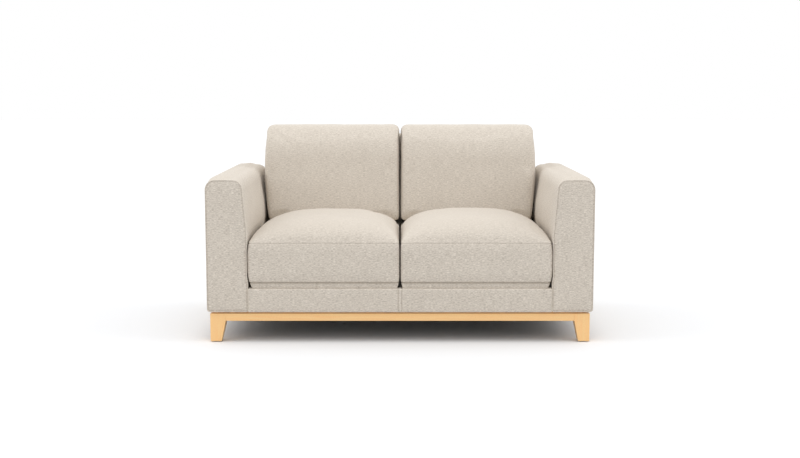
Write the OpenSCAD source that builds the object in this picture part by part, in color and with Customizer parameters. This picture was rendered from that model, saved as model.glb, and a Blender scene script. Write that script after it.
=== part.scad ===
// Two-seat upholstered settee: a wooden plinth on four tapered legs, a sprung seat frame,
// two padded arms, a webbed back, two loose seat cushions and two loose back cushions.
// Millimetres. The origin is on the floor under the middle of the settee, the front faces -Y,
// and left is the side on the left when the settee is looked at from the front.

/* [Overall] */
// Width over the outsides of the two arms
sofa_w = 1600; // [1480:10:1800]
// Depth from the arm facings to the outside back
sofa_d = 920; // [900:10:980]
// Height of an arm above the plinth, to the seam round its facing
arm_h = 548; // [500:1:600]
// Height of the back above the plinth
back_h = 703; // [660:1:740]
// Height of the upholstered rail under the seat cushions
base_h = 100; // [94:1:120]

/* [Plinth and legs] */
// Height of a leg below the plinth rails
leg_h = 86; // [60:1:130]
// Width and depth of a leg at the plinth
leg_w = 64; // [58:1:76]
// Width and depth of a leg at the floor
leg_foot_w = 46; // [40:1:56]
// Height of the plinth rails
plinth_h = 38; // [34:1:50]
// Thickness of the plinth rails
plinth_t = 30; // [26:1:34]
// How far the plinth stands in from the upholstery
plinth_setback = 12; // [8:1:16]
// Thickness of the glide under each leg
glide_t = 3; // [2:0.5:5]
// Radius of a glide
glide_r = 16; // [12:1:19]
// Length of a corner brace along a plinth rail
brace_l = 120; // [110:1:130]
// Thickness of a corner brace
brace_t = 15; // [12:1:18]
// Radius of the dowels in the plinth
dowel_r = 4; // [3:0.5:5]
// Length of a dowel
dowel_l = 36; // [30:1:40]

/* [Upholstery] */
// Thickness of a fabric cover with its wadding
cover_t = 4; // [3:0.5:5]
// Thickness of the padded facing on the front of an arm
facing_t = 12; // [8:1:16]
// Thickness of the panel that closes an arm at the rear
rear_panel_t = 6; // [4:1:8]
// How far a facing stands inside the edge of the arm cover
facing_inset = 1.5; // [1:0.5:3]
// Width of the narrow strip in the middle of the front rail
strip_w = 17; // [12:1:30]
// Gap left by a seam between two covers
seam_gap = 0.6; // [0.4:0.1:1]

/* [Arms] */
// Width of an arm at the seat
arm_w = 171; // [160:1:190]
// Lean of the inside of an arm above the seat, in degrees
arm_lean = 4.6; // [3:0.1:6]
// Height above the plinth where the inside of an arm starts to lean
arm_bulge_h = 308; // [280:1:330]
// Radius of the two upper corners of an arm
arm_corner_r = 40; // [32:1:46]
// Radius of the lower outer corner of an arm
arm_foot_r = 12; // [10:1:16]
// Rise of the crown along the top of an arm
arm_crown = 9; // [4:1:12]
// Thickness of the padding on the outside of an arm
arm_outer_pad = 6; // [4:1:9]
// Thickness of the padding on the inside of an arm, at the seat
arm_inner_pad = 27; // [20:1:34]
// Thickness of the padding over an arm
arm_top_pad = 24; // [18:1:30]
// Thickness of the boards on the arm frame
arm_board_t = 3; // [3:0.5:6]
// Thickness of the posts of the arm frame
arm_post_t = 30; // [24:1:36]
// Height of the outer foot rail of the arm frame
arm_foot_rail_h = 40; // [36:1:50]
// Thickness of the top rail of the arm frame
arm_top_rail_t = 20; // [16:1:26]

/* [Seat frame] */
// Thickness of the seat rails
rail_t = 28; // [24:1:32]
// Thickness of the padding on the front rail
rail_pad_t = 12; // [10:1:16]
// Height left above the seat rails for the springs and the deck
deck_build = 22; // [20:1:26]
// How far the centre stretcher stays below the top of the rails
stretcher_drop = 18; // [14:1:26]
// Length of a glued corner block
block_l = 70; // [55:1:85]
// Height of a glued corner block
block_h = 60; // [50:1:66]
// Springs under each seat
springs_per_seat = 5; // [4:1:6]
// Distance between the bars of a zigzag spring, rounded to fit the depth of the seat
spring_step = 38; // [35:1:40]
// Width of a zigzag spring
spring_w = 54; // [50:1:60]
// Diameter of the spring wire
wire_d = 3.8; // [3:0.1:4.2]
// Height of a spring clip
clip_h = 7; // [6.6:0.1:7.6]
// Depth of a spring clip
clip_d = 15; // [12:1:17]
// Thickness of the dust cover
dust_t = 1; // [1:0.5:2]

/* [Back] */
// Lean of the inside of the back, in degrees
back_lean = 8; // [6:0.5:9]
// Thickness of the back at its top
back_top_t = 107; // [100:1:118]
// Gap between the back and each arm
back_side_gap = 1; // [0.5:0.5:3]
// Thickness of the padding of the back
back_pad_t = 25; // [20:1:30]
// Radius of the upper front edge of the back
back_edge_r = 24; // [18:1:30]
// Thickness of the webbing
web_t = 2; // [1.5:0.5:3]
// Width of a webbing strap
web_w = 60; // [50:1:70]
// Number of webbing straps
web_n = 8; // [6:2:10]
// Width of the back posts
post_w = 30; // [26:1:36]
// Height of the top rail of the back
top_rail_h = 28; // [24:1:36]
// Height of the lower rail that the webbing is tacked to
tack_rail_h = 40; // [34:1:50]
// Thickness of the padding over the back
back_top_pad = 12; // [8:1:16]

/* [Seat cushions] */
// Gap between the two seat cushions
seat_mid_gap = 5; // [3:1:10]
// Gap between a seat cushion and an arm
seat_side_gap = 3; // [2:1:6]
// Distance of the front seams behind the arm facings
seat_setback = 4; // [3:1:10]
// Height of the rounded lower edge, below the lower seam
seat_lip_h = 25; // [18:1:32]
// Height of the boxing between the two seams
seat_boxing_h = 164; // [140:1:180]
// Rise of the crown above the upper seam
seat_crown = 100; // [70:1:104]
// Rise left under a back cushion, where it presses the crown down
seat_rear_rise = 24; // [16:1:30]
// Gap between the seat cushions and the inside back
seat_rear_gap = 12; // [8:1:20]
// Radius of the corners of a seat cushion, seen from above
seat_corner_r = 26; // [20:1:36]
// Bulge of the boxing
seat_bulge = 2; // [0:0.5:2.5]
// Foam left round the core of a seat cushion
seat_wrap = 28; // [24:1:36]

/* [Back cushions] */
// Height of a back cushion
back_cushion_h = 437; // [400:1:460]
// Thickness of a back cushion at its middle
back_cushion_t = 178; // [160:1:186]
// Gap between the two back cushions
back_mid_gap = 8; // [4:1:12]
// Gap between a back cushion and the arm, at its widest
back_cushion_side_gap = 4; // [3:1:10]
// How much narrower the outer side is at the seat than at its widest
back_taper = 22; // [10:1:30]
// Radius of the corners, seen from the front
back_corner_r = 42; // [30:1:55]
// Radius of the front edges
back_round_r = 52; // [40:1:60]
// Foam left round the core of a back cushion
back_wrap = 34; // [30:1:40]

/* [Zips] */
// Length of a zip
zip_l = 480; // [400:10:500]
// Height of the placket that the zip lies in
placket_h = 24; // [20:1:28]
// Depth of the placket
placket_d = 7; // [6.5:0.5:9]
// Height of the chain of teeth
chain_h = 6; // [5:0.5:7]
// Thickness of the chain of teeth
chain_t = 2; // [1.5:0.1:2.2]
// Height of the slider
slider_h = 11; // [9:0.5:13]
// Length of the slider
slider_l = 14; // [11:1:18]
// Thickness of the slider
slider_t = 2; // [1.5:0.1:2.2]
// Length of the pull tab
pull_l = 26; // [20:1:32]
// Thickness of the pull tab
pull_t = 1.2; // [0.8:0.1:1.4]

/* [Fasteners] */
// Radius of the bolts that hold the arms and the back
bolt_r = 4; // [3:0.5:5]
// Radius of a bolt's head
bolt_head_r = 7; // [6:0.5:9]
// Height of a bolt's head
bolt_head_h = 5; // [4:0.5:6]
// How far a bolt goes into the timber beyond the cover
bolt_bite = 24; // [20:1:26]
// Radius of the screws that hold the plinth
screw_r = 2.5; // [2:0.5:3]
// Radius of a screw's head
screw_head_r = 5; // [4.5:0.5:6]
// Height of a screw's head
screw_head_h = 3; // [2:0.5:4]
// How far a screw goes into the arm frame
screw_bite = 30; // [24:1:34]
// Radius of the nail of a glide
nail_r = 2; // [1.5:0.5:2.5]
// Length of the nail of a glide
nail_l = 14; // [10:1:20]

/* [Hidden] */
$fn = 32;

// Overrun of every cut past the face that it opens
cut = 1;
// Clearance of a soft piece or a slider from what it rests on
rest_gap = 0.3;
// Radial clearance of a bolt, dowel, screw or nail in its hole
hole_gap = 0.05;
// Clearance between a clip or pad and what lies on it
lay_gap = 0.1;

// Straight steps that stand for a quarter turn of a padded edge
arc_steps = 8;

// Levels
leg_top_z = glide_t + leg_h;
body_z = leg_top_z + plinth_h;
deck_z = body_z + base_h;
rail_top_z = deck_z - deck_build;
arm_z = body_z + arm_h;
bulge_z = body_z + arm_bulge_h;
back_z = body_z + back_h;
seat_low_seam_z = deck_z + seat_lip_h;
seat_seam_z = seat_low_seam_z + seat_boxing_h;
back_cushion_z = seat_seam_z + seat_rear_rise + rest_gap;

// Planes seen from above
half_w = sofa_w / 2;
front_y = -sofa_d / 2;
rear_y = sofa_d / 2;
arm_in_x = half_w - arm_w;
plinth_x = half_w - plinth_setback;
plinth_y = rear_y - plinth_setback;
cover_front_y = front_y + facing_t;
cover_rear_y = rear_y - rear_panel_t;
rail_front_y = front_y + cover_t + rail_pad_t;
rail_rear_y = rail_front_y + rail_t;

// The inside back leans, so its front face depends on the height
lean = tan(back_lean);
function inside_y(z) = rear_y - back_top_t - (back_z - z) * lean;
back_rail_y = inside_y(rail_top_z);
back_x = arm_in_x - back_side_gap;
post_plane = cover_t + back_pad_t + web_t;
post_y = back_rail_y + rail_t;
post_rear_y = rear_y - cover_t;

// Arm frame
frame_out_x = half_w - cover_t - arm_outer_pad;
frame_in_x = arm_in_x + cover_t + arm_inner_pad;
timber_out_x = frame_out_x - arm_board_t;
timber_in_x = frame_in_x + arm_board_t;
frame_top_z = arm_z - cover_t - arm_top_pad;
inner_foot_x = arm_in_x + cover_t;
inner_foot_z = rail_top_z + clip_h;

// Cushions
seat_cushion_w = (2 * arm_in_x - 2 * seat_side_gap - seat_mid_gap) / 2;
seat_cushion_x = (seat_cushion_w + seat_mid_gap) / 2;
seat_front_y = front_y + seat_setback;
seat_rear_y = inside_y(deck_z) - seat_rear_gap;
seat_cushion_d = seat_rear_y - seat_front_y;
seat_cushion_y = (seat_rear_y + seat_front_y) / 2;
back_cushion_w = arm_in_x - back_cushion_side_gap - back_mid_gap / 2;
back_cushion_x = (back_cushion_w + back_mid_gap) / 2;

// Mirrored copies for the two sides: the right side is the one drawn
module on_left() { mirror([1, 0, 0]) children(); }
module on_each_side() {
    children();
    on_left() children();
}
module at_each_corner() {
    on_each_side() {
        children();
        mirror([0, 1, 0]) children();
    }
}

module box(x, y, z) {
    translate([x[0], y[0], z[0]]) cube([x[1] - x[0], y[1] - y[0], z[1] - z[0]]);
}
// A shape drawn in the Y-Z plane, run from one X to another
module along_x(x) {
    translate([x[0], 0, 0]) rotate([90, 0, 90]) linear_extrude(x[1] - x[0]) children();
}
// A shape drawn in the X-Z plane, run from one Y to another
module along_y(y) {
    translate([0, y[1], 0]) rotate([90, 0, 0]) linear_extrude(y[1] - y[0]) children();
}
function arc(centre, r, from, to, steps = arc_steps) = [
    for (i = [0:steps]) let (a = from + (to - from) * i / steps) centre + r * [cos(a), sin(a)]
];

// Plinth and legs
glide_x = plinth_x - leg_foot_w / 2;
glide_y = plinth_y - leg_foot_w / 2;
dowel_z_shares = [0.3, 0.7];
rail_end_x = plinth_x - leg_w;
rail_end_y = plinth_y - leg_w;

function leg_profile(outer) = [
    [outer, glide_t], [outer, body_z], [outer - leg_w, body_z],
    [outer - leg_w, leg_top_z], [outer - leg_foot_w, glide_t]
];

module dowel_holes(r, extra) {
    for (share = dowel_z_shares) {
        z = leg_top_z + plinth_h * share;
        l = dowel_l + 2 * extra;
        translate([rail_end_x - l / 2, plinth_y - plinth_t / 2, z]) rotate([0, 90, 0])
            cylinder(r = r, h = l);
        translate([plinth_x - plinth_t / 2, rail_end_y + l / 2, z]) rotate([90, 0, 0])
            cylinder(r = r, h = l);
    }
}
module glide() {
    translate([glide_x, glide_y, 0]) {
        cylinder(r = glide_r, h = glide_t);
        cylinder(r = nail_r, h = glide_t + nail_l);
    }
}
module leg() {
    color([0.94, 0.76, 0.53]) difference() {
        intersection() {
            along_y([rail_end_y, plinth_y]) polygon(leg_profile(plinth_x));
            along_x([rail_end_x, plinth_x]) polygon(leg_profile(plinth_y));
        }
        dowel_holes(dowel_r + hole_gap, hole_gap);
        translate([glide_x, glide_y, 0]) cylinder(r = nail_r + hole_gap, h = glide_t + nail_l + hole_gap);
    }
}
module leg_glides() { color([0.2, 0.2, 0.2]) at_each_corner() glide(); }
module plinth_long_rail() {
    color([0.94, 0.76, 0.53]) difference() {
        box([-rail_end_x, rail_end_x], [plinth_y - plinth_t, plinth_y], [leg_top_z, body_z]);
        on_each_side() dowel_holes(dowel_r + hole_gap, hole_gap);
    }
}
module plinth_side_rail() {
    color([0.94, 0.76, 0.53]) difference() {
        box([plinth_x - plinth_t, plinth_x], [-rail_end_y, rail_end_y], [leg_top_z, body_z]);
        dowel_holes(dowel_r + hole_gap, hole_gap);
        mirror([0, 1, 0]) dowel_holes(dowel_r + hole_gap, hole_gap);
    }
}
module plinth_dowels() { color([0.86, 0.7, 0.5]) at_each_corner() dowel_holes(dowel_r, 0); }

// A brace fits round the inner corner of the leg and against two plinth rails
brace_x = plinth_x - plinth_t;
brace_y = plinth_y - plinth_t;
leg_step = leg_w - plinth_t;
screw_near_share = 0.17;
screw_far_share = 0.6;
function brace_screw_places() = [
    for (s = [[screw_near_share, screw_far_share], [screw_far_share, screw_near_share]])
        [brace_x - brace_l * s[0], brace_y - brace_l * s[1]]
];
module plinth_brace() {
    difference() {
        translate([0, 0, body_z - brace_t]) linear_extrude(brace_t) polygon([
            [brace_x - leg_step, brace_y], [brace_x - brace_l, brace_y], [brace_x, brace_y - brace_l],
            [brace_x, brace_y - leg_step], [brace_x - leg_step, brace_y - leg_step]
        ]);
        for (p = brace_screw_places())
            translate([p[0], p[1], body_z - brace_t - cut])
                cylinder(r = screw_r + hole_gap, h = brace_t + 2 * cut);
    }
}
module plinth_corner_braces() { color([0.8, 0.68, 0.5]) at_each_corner() plinth_brace(); }
module screws(r, extra) {
    for (p = brace_screw_places())
        translate([p[0], p[1], body_z - brace_t]) {
            cylinder(r = r, h = brace_t + screw_bite + extra);
            translate([0, 0, -screw_head_h]) cylinder(r = screw_head_r, h = screw_head_h);
        }
}
module plinth_screws() { color([0.7, 0.7, 0.72]) at_each_corner() screws(screw_r, 0); }

// Seat frame
bolt_z = body_z + (rail_top_z - body_z) / 2;
arm_bolt_y_shares = [0.15, 0.5, 0.85];
side_rail_in_x = arm_in_x - rail_t;
function arm_bolt_y(share) = rail_rear_y + (back_rail_y - rail_rear_y) * share;
module arm_bolt_set(r, extra) {
    reach = rail_t + cover_t + bolt_bite + extra;
    for (share = arm_bolt_y_shares)
        translate([side_rail_in_x, arm_bolt_y(share), bolt_z]) rotate([0, 90, 0])
            cylinder(r = r, h = reach);
}
module arm_bolts() {
    color([0.7, 0.7, 0.72]) on_each_side() {
        arm_bolt_set(bolt_r, 0);
        for (share = arm_bolt_y_shares)
            translate([side_rail_in_x - bolt_head_h, arm_bolt_y(share), bolt_z]) rotate([0, 90, 0])
                cylinder(r = bolt_head_r, h = bolt_head_h);
    }
}
back_bolt_z_shares = [0.3, 0.72];
back_bolt_x = [back_x - cover_t - post_w / 2, 0, cover_t + post_w / 2 - back_x];
// Each bolt comes from the front, and its head is let into the rail; fit is its clearance
module back_bolt_set(fit) {
    for (x = back_bolt_x)
        for (share = back_bolt_z_shares)
            translate([x, post_y + bolt_bite + fit, body_z + (rail_top_z - body_z) * share])
                rotate([90, 0, 0]) {
                    cylinder(r = bolt_r + fit, h = rail_t + bolt_bite + fit);
                    translate([0, 0, rail_t + bolt_bite - bolt_head_h])
                        cylinder(r = bolt_head_r + fit, h = bolt_head_h + fit + cut * sign(fit));
                }
}
module back_bolts() { color([0.7, 0.7, 0.72]) back_bolt_set(0); }
module seat_front_rail() {
    color([0.84, 0.7, 0.5]) box([-arm_in_x, arm_in_x], [rail_front_y, rail_rear_y], [body_z, rail_top_z]);
}
module seat_back_rail() {
    color([0.84, 0.7, 0.5]) difference() {
        box([-arm_in_x, arm_in_x], [back_rail_y, post_y], [body_z, rail_top_z]);
        back_bolt_set(hole_gap);
    }
}
module seat_side_rail() {
    color([0.84, 0.7, 0.5]) difference() {
        box([side_rail_in_x, arm_in_x], [rail_rear_y, back_rail_y], [body_z, rail_top_z]);
        arm_bolt_set(bolt_r + hole_gap, cut);
    }
}
module seat_centre_stretcher() {
    color([0.84, 0.7, 0.5])
        box([-rail_t / 2, rail_t / 2], [rail_rear_y, back_rail_y], [body_z, rail_top_z - stretcher_drop]);
}
module corner_block(y, way) {
    translate([0, 0, body_z]) linear_extrude(block_h) polygon([
        [side_rail_in_x, y], [side_rail_in_x - block_l, y], [side_rail_in_x, y + way * block_l]
    ]);
}
module seat_corner_blocks() {
    color([0.8, 0.64, 0.44]) on_each_side() {
        corner_block(rail_rear_y, 1);
        corner_block(back_rail_y, -1);
    }
}

// Zigzag springs: one wire each, in straight bars joined by half turns
spring_front_y = (rail_front_y + rail_rear_y) / 2;
spring_rear_y = (back_rail_y + post_y) / 2;
spring_l = spring_rear_y - spring_front_y;
// An odd number of turns, so that both ends lie on the same side
spring_turns = 2 * round((spring_l / spring_step - 1) / 2) + 1;
turn_r = spring_l / (2 * spring_turns);
clip_wall = (clip_h - wire_d) / 2;
spring_z = rail_top_z + clip_wall;
turn_steps = 4;
bar_half = spring_w / 2 - turn_r;
clip_half = bar_half - lay_gap;
// Each entry is a point on the wire's middle line and the direction that the wire takes there
function spring_turn(i) = let (side = i % 2 == 0 ? 1 : -1, y = spring_front_y + (2 * i + 1) * turn_r) [
    for (k = [0:turn_steps]) let (a = -90 + 180 * k / turn_steps)
        [[side * (bar_half + turn_r * cos(a)), y + turn_r * sin(a)], 90 + side * a]
];
spring_line = concat(
    [[[-bar_half, spring_front_y], 0]],
    [for (i = [0:spring_turns - 1]) each spring_turn(i)],
    [[[-bar_half, spring_rear_y], 180]]
);
function beside(line, off) = [for (s = line) s[0] + off * [-sin(s[1]), cos(s[1])]];
function backwards(list) = [for (i = [len(list) - 1:-1:0]) list[i]];
spring_pitch = 2 * arm_in_x / (2 * springs_per_seat);
spring_places = [for (i = [0:2 * springs_per_seat - 1]) -arm_in_x + spring_pitch * (i + 0.5)];
module seat_springs() {
    color([0.55, 0.56, 0.58]) for (x = spring_places)
        translate([x, 0, spring_z]) linear_extrude(wire_d)
            polygon(concat(beside(spring_line, wire_d / 2), backwards(beside(spring_line, -wire_d / 2))));
}
// A clip is folded over the end bar of a spring
module spring_clip(y) {
    wire_gap = wire_d / 2 + hole_gap;
    difference() {
        box([-clip_half, clip_half], [y - clip_d / 2, y + clip_d / 2], [rail_top_z, rail_top_z + clip_h]);
        box([-bar_half, bar_half], [y - wire_gap, y + wire_gap],
            [spring_z - hole_gap, spring_z + wire_d + hole_gap]);
    }
}
module spring_clips() {
    color([0.75, 0.75, 0.77]) for (x = spring_places) translate([x, 0, 0]) {
        spring_clip(spring_front_y);
        spring_clip(spring_rear_y);
    }
}

// Deck over the springs
deck_pad_z = rail_top_z + clip_h + lay_gap;
deck_rear_y = inside_y(deck_z - cover_t) - lay_gap;
pad_return_y = spring_front_y - clip_d / 2 - lay_gap;
flange_y = rail_rear_y + rail_t / 2;
module deck_pad() {
    color([0.75, 0.72, 0.66])
        box([-arm_in_x, arm_in_x], [pad_return_y + lay_gap, inside_y(deck_pad_z) - lay_gap],
            [deck_pad_z, deck_z - cover_t - lay_gap]);
}
module deck_cloth() {
    color([0.62, 0.59, 0.54])
        box([-arm_in_x, arm_in_x], [flange_y, deck_rear_y], [deck_z - cover_t, deck_z]);
}
dust_x = plinth_x - plinth_t;
dust_y = plinth_y - plinth_t;
dust_corner = brace_l + seam_gap;
module dust_cover() {
    color([0.12, 0.12, 0.13]) translate([0, 0, body_z - dust_t]) linear_extrude(dust_t) polygon([
        [dust_x, dust_y - dust_corner], [dust_x - dust_corner, dust_y],
        [dust_corner - dust_x, dust_y], [-dust_x, dust_y - dust_corner],
        [-dust_x, dust_corner - dust_y], [dust_corner - dust_x, -dust_y],
        [dust_x - dust_corner, -dust_y], [dust_x, dust_corner - dust_y]
    ]);
}

// Arms: the outline is the right arm seen from the front, drawn in by inset
corner_z = arm_z - arm_corner_r;
crown_steps = 8;
lean_run = (corner_z + arm_corner_r * sin(arm_lean) - bulge_z) / cos(arm_lean);
corner_in_x = arm_in_x + arm_corner_r * cos(arm_lean) + lean_run * sin(arm_lean);
corner_out_x = half_w - arm_corner_r;
function crown_line(inset, crown) = [
    for (i = [1:crown_steps - 1]) let (t = i / crown_steps)
        [corner_out_x + (corner_in_x - corner_out_x) * t, arm_z - inset + crown * (1 - cos(360 * t)) / 2]
];
function arm_outline(inset, crown, foot_z) = concat(
    [[half_w - arm_foot_r, foot_z]],
    arc([half_w - arm_foot_r, body_z + arm_foot_r], arm_foot_r - inset, -90, 0),
    arc([corner_out_x, corner_z], arm_corner_r - inset, 0, 90),
    crown_line(inset, crown),
    arc([corner_in_x, corner_z], arm_corner_r - inset, 90, 180 - arm_lean),
    [[arm_in_x + inset, bulge_z], [arm_in_x + inset, foot_z]]
);
module arm_cover() {
    color([0.79, 0.75, 0.7]) difference() {
        along_y([cover_front_y, cover_rear_y]) difference() {
            polygon(arm_outline(0, arm_crown, body_z));
            polygon(arm_outline(cover_t, arm_crown, body_z - cut));
        }
        arm_bolt_set(bolt_r + hole_gap, hole_gap);
    }
}
module arm_padding() {
    color([0.93, 0.9, 0.78]) along_y([cover_front_y, cover_rear_y]) difference() {
        polygon(arm_outline(cover_t, arm_crown, body_z));
        translate([frame_in_x, body_z - cut])
            square([frame_out_x - frame_in_x, frame_top_z - body_z + cut]);
        translate([arm_in_x, body_z - cut]) square([timber_in_x - arm_in_x, inner_foot_z - body_z + cut]);
    }
}
module arm_facing() {
    color([0.79, 0.75, 0.7]) along_y([front_y, cover_front_y])
        polygon(arm_outline(facing_inset, 0, body_z));
}
module arm_rear_panel() {
    color([0.79, 0.75, 0.7]) along_y([cover_rear_y, rear_y])
        polygon(arm_outline(facing_inset, 0, body_z));
}
module arm_frame() {
    timber_x = [timber_in_x, timber_out_x];
    post_z = [body_z + arm_foot_rail_h, frame_top_z - arm_top_rail_t];
    color([0.84, 0.7, 0.5]) difference() {
        union() {
            box(timber_x, [cover_front_y, cover_rear_y], [body_z, body_z + arm_foot_rail_h]);
            box(timber_x, [cover_front_y, cover_rear_y], [frame_top_z - arm_top_rail_t, frame_top_z]);
            box(timber_x, [cover_front_y, cover_front_y + arm_post_t], post_z);
            box(timber_x, [cover_rear_y - arm_post_t, cover_rear_y], post_z);
            box(timber_x, [-arm_post_t / 2, arm_post_t / 2], post_z);
            box([inner_foot_x, timber_in_x], [cover_front_y, cover_rear_y], [body_z, inner_foot_z]);
        }
        arm_bolt_set(bolt_r + hole_gap, hole_gap);
        screws(screw_r + hole_gap, hole_gap);
        mirror([0, 1, 0]) screws(screw_r + hole_gap, hole_gap);
    }
}
module arm_boards() {
    color([0.6, 0.45, 0.3]) {
        box([timber_out_x, frame_out_x], [cover_front_y, cover_rear_y], [body_z + arm_foot_r, frame_top_z]);
        box([frame_in_x, timber_in_x], [cover_front_y, cover_rear_y], [inner_foot_z, frame_top_z]);
    }
}

// Back: slabs that follow the lean, from one height to another and from one depth to another
function slab(z, w) = [
    [inside_y(z[0]) + w[0], z[0]], [inside_y(z[1]) + w[0], z[1]],
    [inside_y(z[1]) + w[1], z[1]], [inside_y(z[0]) + w[1], z[0]]
];
back_foot_z = rail_top_z + clip_h + 2 * lay_gap;
frame_z = back_z - cover_t - back_top_pad;
tack_z = back_foot_z + post_w / 4;
post_in_x = back_x - cover_t - post_w;
module back_post(x) {
    knee_z = back_z - (rear_y - back_top_t + post_plane - post_y) / lean;
    along_x(x) polygon([
        [post_y, body_z], [post_rear_y, body_z], [post_rear_y, frame_z - top_rail_h],
        [inside_y(frame_z - top_rail_h) + post_plane, frame_z - top_rail_h],
        [post_y, max(knee_z, body_z)]
    ]);
}
module back_posts() {
    color([0.84, 0.7, 0.5]) difference() {
        union() {
            on_each_side() back_post([post_in_x, post_in_x + post_w]);
            back_post([-post_w / 2, post_w / 2]);
        }
        back_bolt_set(hole_gap);
        tack_rail(hole_gap);
    }
}
module tack_rail(extra) {
    along_x([-post_in_x - extra, post_in_x + extra]) polygon(slab(
        [tack_z - extra, tack_z + tack_rail_h + extra], [post_plane - cut * sign(extra), post_plane + rail_t]
    ));
}
module back_rails() {
    color([0.84, 0.7, 0.5]) {
        tack_rail(0);
        along_x([-post_in_x - post_w, post_in_x + post_w]) polygon([
            [inside_y(frame_z - top_rail_h) + post_plane, frame_z - top_rail_h],
            [post_rear_y, frame_z - top_rail_h], [post_rear_y, frame_z],
            [inside_y(frame_z) + post_plane, frame_z]
        ]);
    }
}
web_pitch = 2 * post_in_x / web_n;
module back_webbing() {
    color([0.25, 0.25, 0.26]) for (i = [0:web_n - 1]) {
        middle = web_pitch * (i + 0.5) - post_in_x;
        along_x([middle - web_w / 2, middle + web_w / 2])
            polygon(slab([tack_z, frame_z - web_t], [post_plane - web_t, post_plane]));
    }
}
module back_padding() {
    pad = [cover_t, cover_t + back_pad_t];
    color([0.93, 0.9, 0.78]) along_x([cover_t - back_x, back_x - cover_t]) polygon([
        [inside_y(back_foot_z) + pad[0], back_foot_z],
        for (p = arc([inside_y(back_z - back_edge_r) + back_edge_r, back_z - back_edge_r],
                     back_edge_r - cover_t, 180, 90)) p,
        [post_rear_y, back_z - cover_t], [post_rear_y, frame_z],
        [inside_y(frame_z) + pad[1], frame_z], [inside_y(back_foot_z) + pad[1], back_foot_z]
    ]);
}
function back_outline(inset, foot_z, rear) = concat(
    [[inside_y(foot_z) + inset, foot_z]],
    arc([inside_y(back_z - back_edge_r) + back_edge_r, back_z - back_edge_r], back_edge_r - inset, 180, 90),
    [[rear, back_z - inset], [rear, foot_z]]
);
module inside_back_cover() {
    rear = rear_y - cover_t;
    color([0.79, 0.75, 0.7]) difference() {
        along_x([-back_x, back_x]) polygon(back_outline(0, back_foot_z, rear));
        along_x([cover_t - back_x, back_x - cover_t])
            polygon(back_outline(cover_t, back_foot_z - cut, rear + cut));
    }
}
module outside_back_cover() {
    color([0.79, 0.75, 0.7]) box([-back_x, back_x], [rear_y - cover_t, rear_y], [body_z, back_z]);
}

// Front rail upholstery
nose_r = 2 * cover_t;
function rail_wrap(inset, foot) = concat(
    [[front_y + inset, foot]],
    arc([front_y + nose_r, deck_z - nose_r], nose_r - inset, 180, 90)
);
module front_rail_padding() {
    color([0.93, 0.9, 0.78]) along_x([-arm_in_x, arm_in_x]) polygon(concat(
        rail_wrap(cover_t, body_z),
        [[pad_return_y, deck_z - cover_t], [pad_return_y, rail_top_z],
         [rail_front_y, rail_top_z], [rail_front_y, body_z]]
    ));
}
module rail_cover(x) {
    color([0.79, 0.75, 0.7]) along_x(x) difference() {
        polygon(concat(rail_wrap(0, body_z), [[flange_y, deck_z], [flange_y, body_z]]));
        polygon(concat(rail_wrap(cover_t, body_z - cut),
            [[flange_y + cut, deck_z - cover_t], [flange_y + cut, body_z - cut]]));
    }
}
module front_rail_cover() { rail_cover([strip_w / 2 + seam_gap, arm_in_x - seam_gap]); }
module front_rail_strip() { rail_cover([-strip_w / 2, strip_w / 2]); }

// Cushions: rings of points round a rounded rectangle, joined into a closed skin
corner_steps = 4;
side_steps = 7;
function between(p, q) = [for (i = [1:side_steps]) p + (q - p) * i / (side_steps + 1)];
function ring(a, b, r) = let (u = a - r, v = b - r) concat(
    arc([u, v], r, 0, 90, corner_steps), between([u, b], [-u, b]),
    arc([-u, v], r, 90, 180, corner_steps), between([-a, v], [-a, -v]),
    arc([-u, -v], r, 180, 270, corner_steps), between([-u, -b], [u, -b]),
    arc([u, -v], r, 270, 360, corner_steps), between([a, -v], [a, v])
);
quarter_n = corner_steps + 1 + side_steps;
ring_n = 4 * quarter_n;
// Each four-sided patch is cut along one diagonal, mirrored about the middle of a side or corner
function patch(a, b, c, d, turned) = turned ? [[a, b, d], [b, c, d]] : [[a, b, c], [a, c, d]];
function turned_at(i) = let (m = i % quarter_n - corner_steps / 2) m >= 0 && m < quarter_n / 2;
// Faces of a skin of several rings, closed by a point at each end
function skin_faces(count) = concat(
    [for (j = [0:count - 2]) for (i = [0:ring_n - 1]) let (k = (i + 1) % ring_n, m = j * ring_n)
        each patch(m + i, m + ring_n + i, m + ring_n + k, m + k, turned_at(i))],
    [for (i = [0:ring_n - 1]) [count * ring_n, i, (i + 1) % ring_n]],
    [for (i = [0:ring_n - 1])
        [count * ring_n + 1, (count - 1) * ring_n + (i + 1) % ring_n, (count - 1) * ring_n + i]]
);

// Seat cushion: x and y are measured from the middle of the cushion
// Share of the depth over which the crown rises, and the power of that rise
crown_run_share = 0.46;
run_power = 3;
// Powers that flatten the middle of the crown and round it down at its edges
crown_flatness = 2.3;
crown_roundness = 0.47;
// The crown is pressed flat ahead of the rounded lower edge of the back cushion
pressed_run_share = 0.58;
pressed_y = inside_y(back_cushion_z) - back_cushion_t - back_round_r / 2 - seat_cushion_y;
pressed_run = back_cushion_t * pressed_run_share;
function ease(t) = let (c = max(0, min(1, t))) c * c * (3 - 2 * c);
function crown_across(x) =
    pow(max(0, 1 - pow(abs(x) / (seat_cushion_w / 2), crown_flatness)), crown_roundness);
function crown_along(y) =
    let (t = min(1, (y / seat_cushion_d + 0.5) / crown_run_share)) 1 - pow(1 - t, run_power);
function seat_rise(x, y) = let (
    free = seat_crown * crown_along(y),
    held = ease((y - pressed_y + pressed_run) / pressed_run)
) crown_across(x) * (free * (1 - held) + min(free, seat_rear_rise) * held)
  * ease((seat_cushion_d / 2 - y) / seat_corner_r);
seat_ring_shares = [0.965, 0.91, 0.83, 0.72, 0.58, 0.4, 0.2];
lip_steps = 3;
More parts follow.
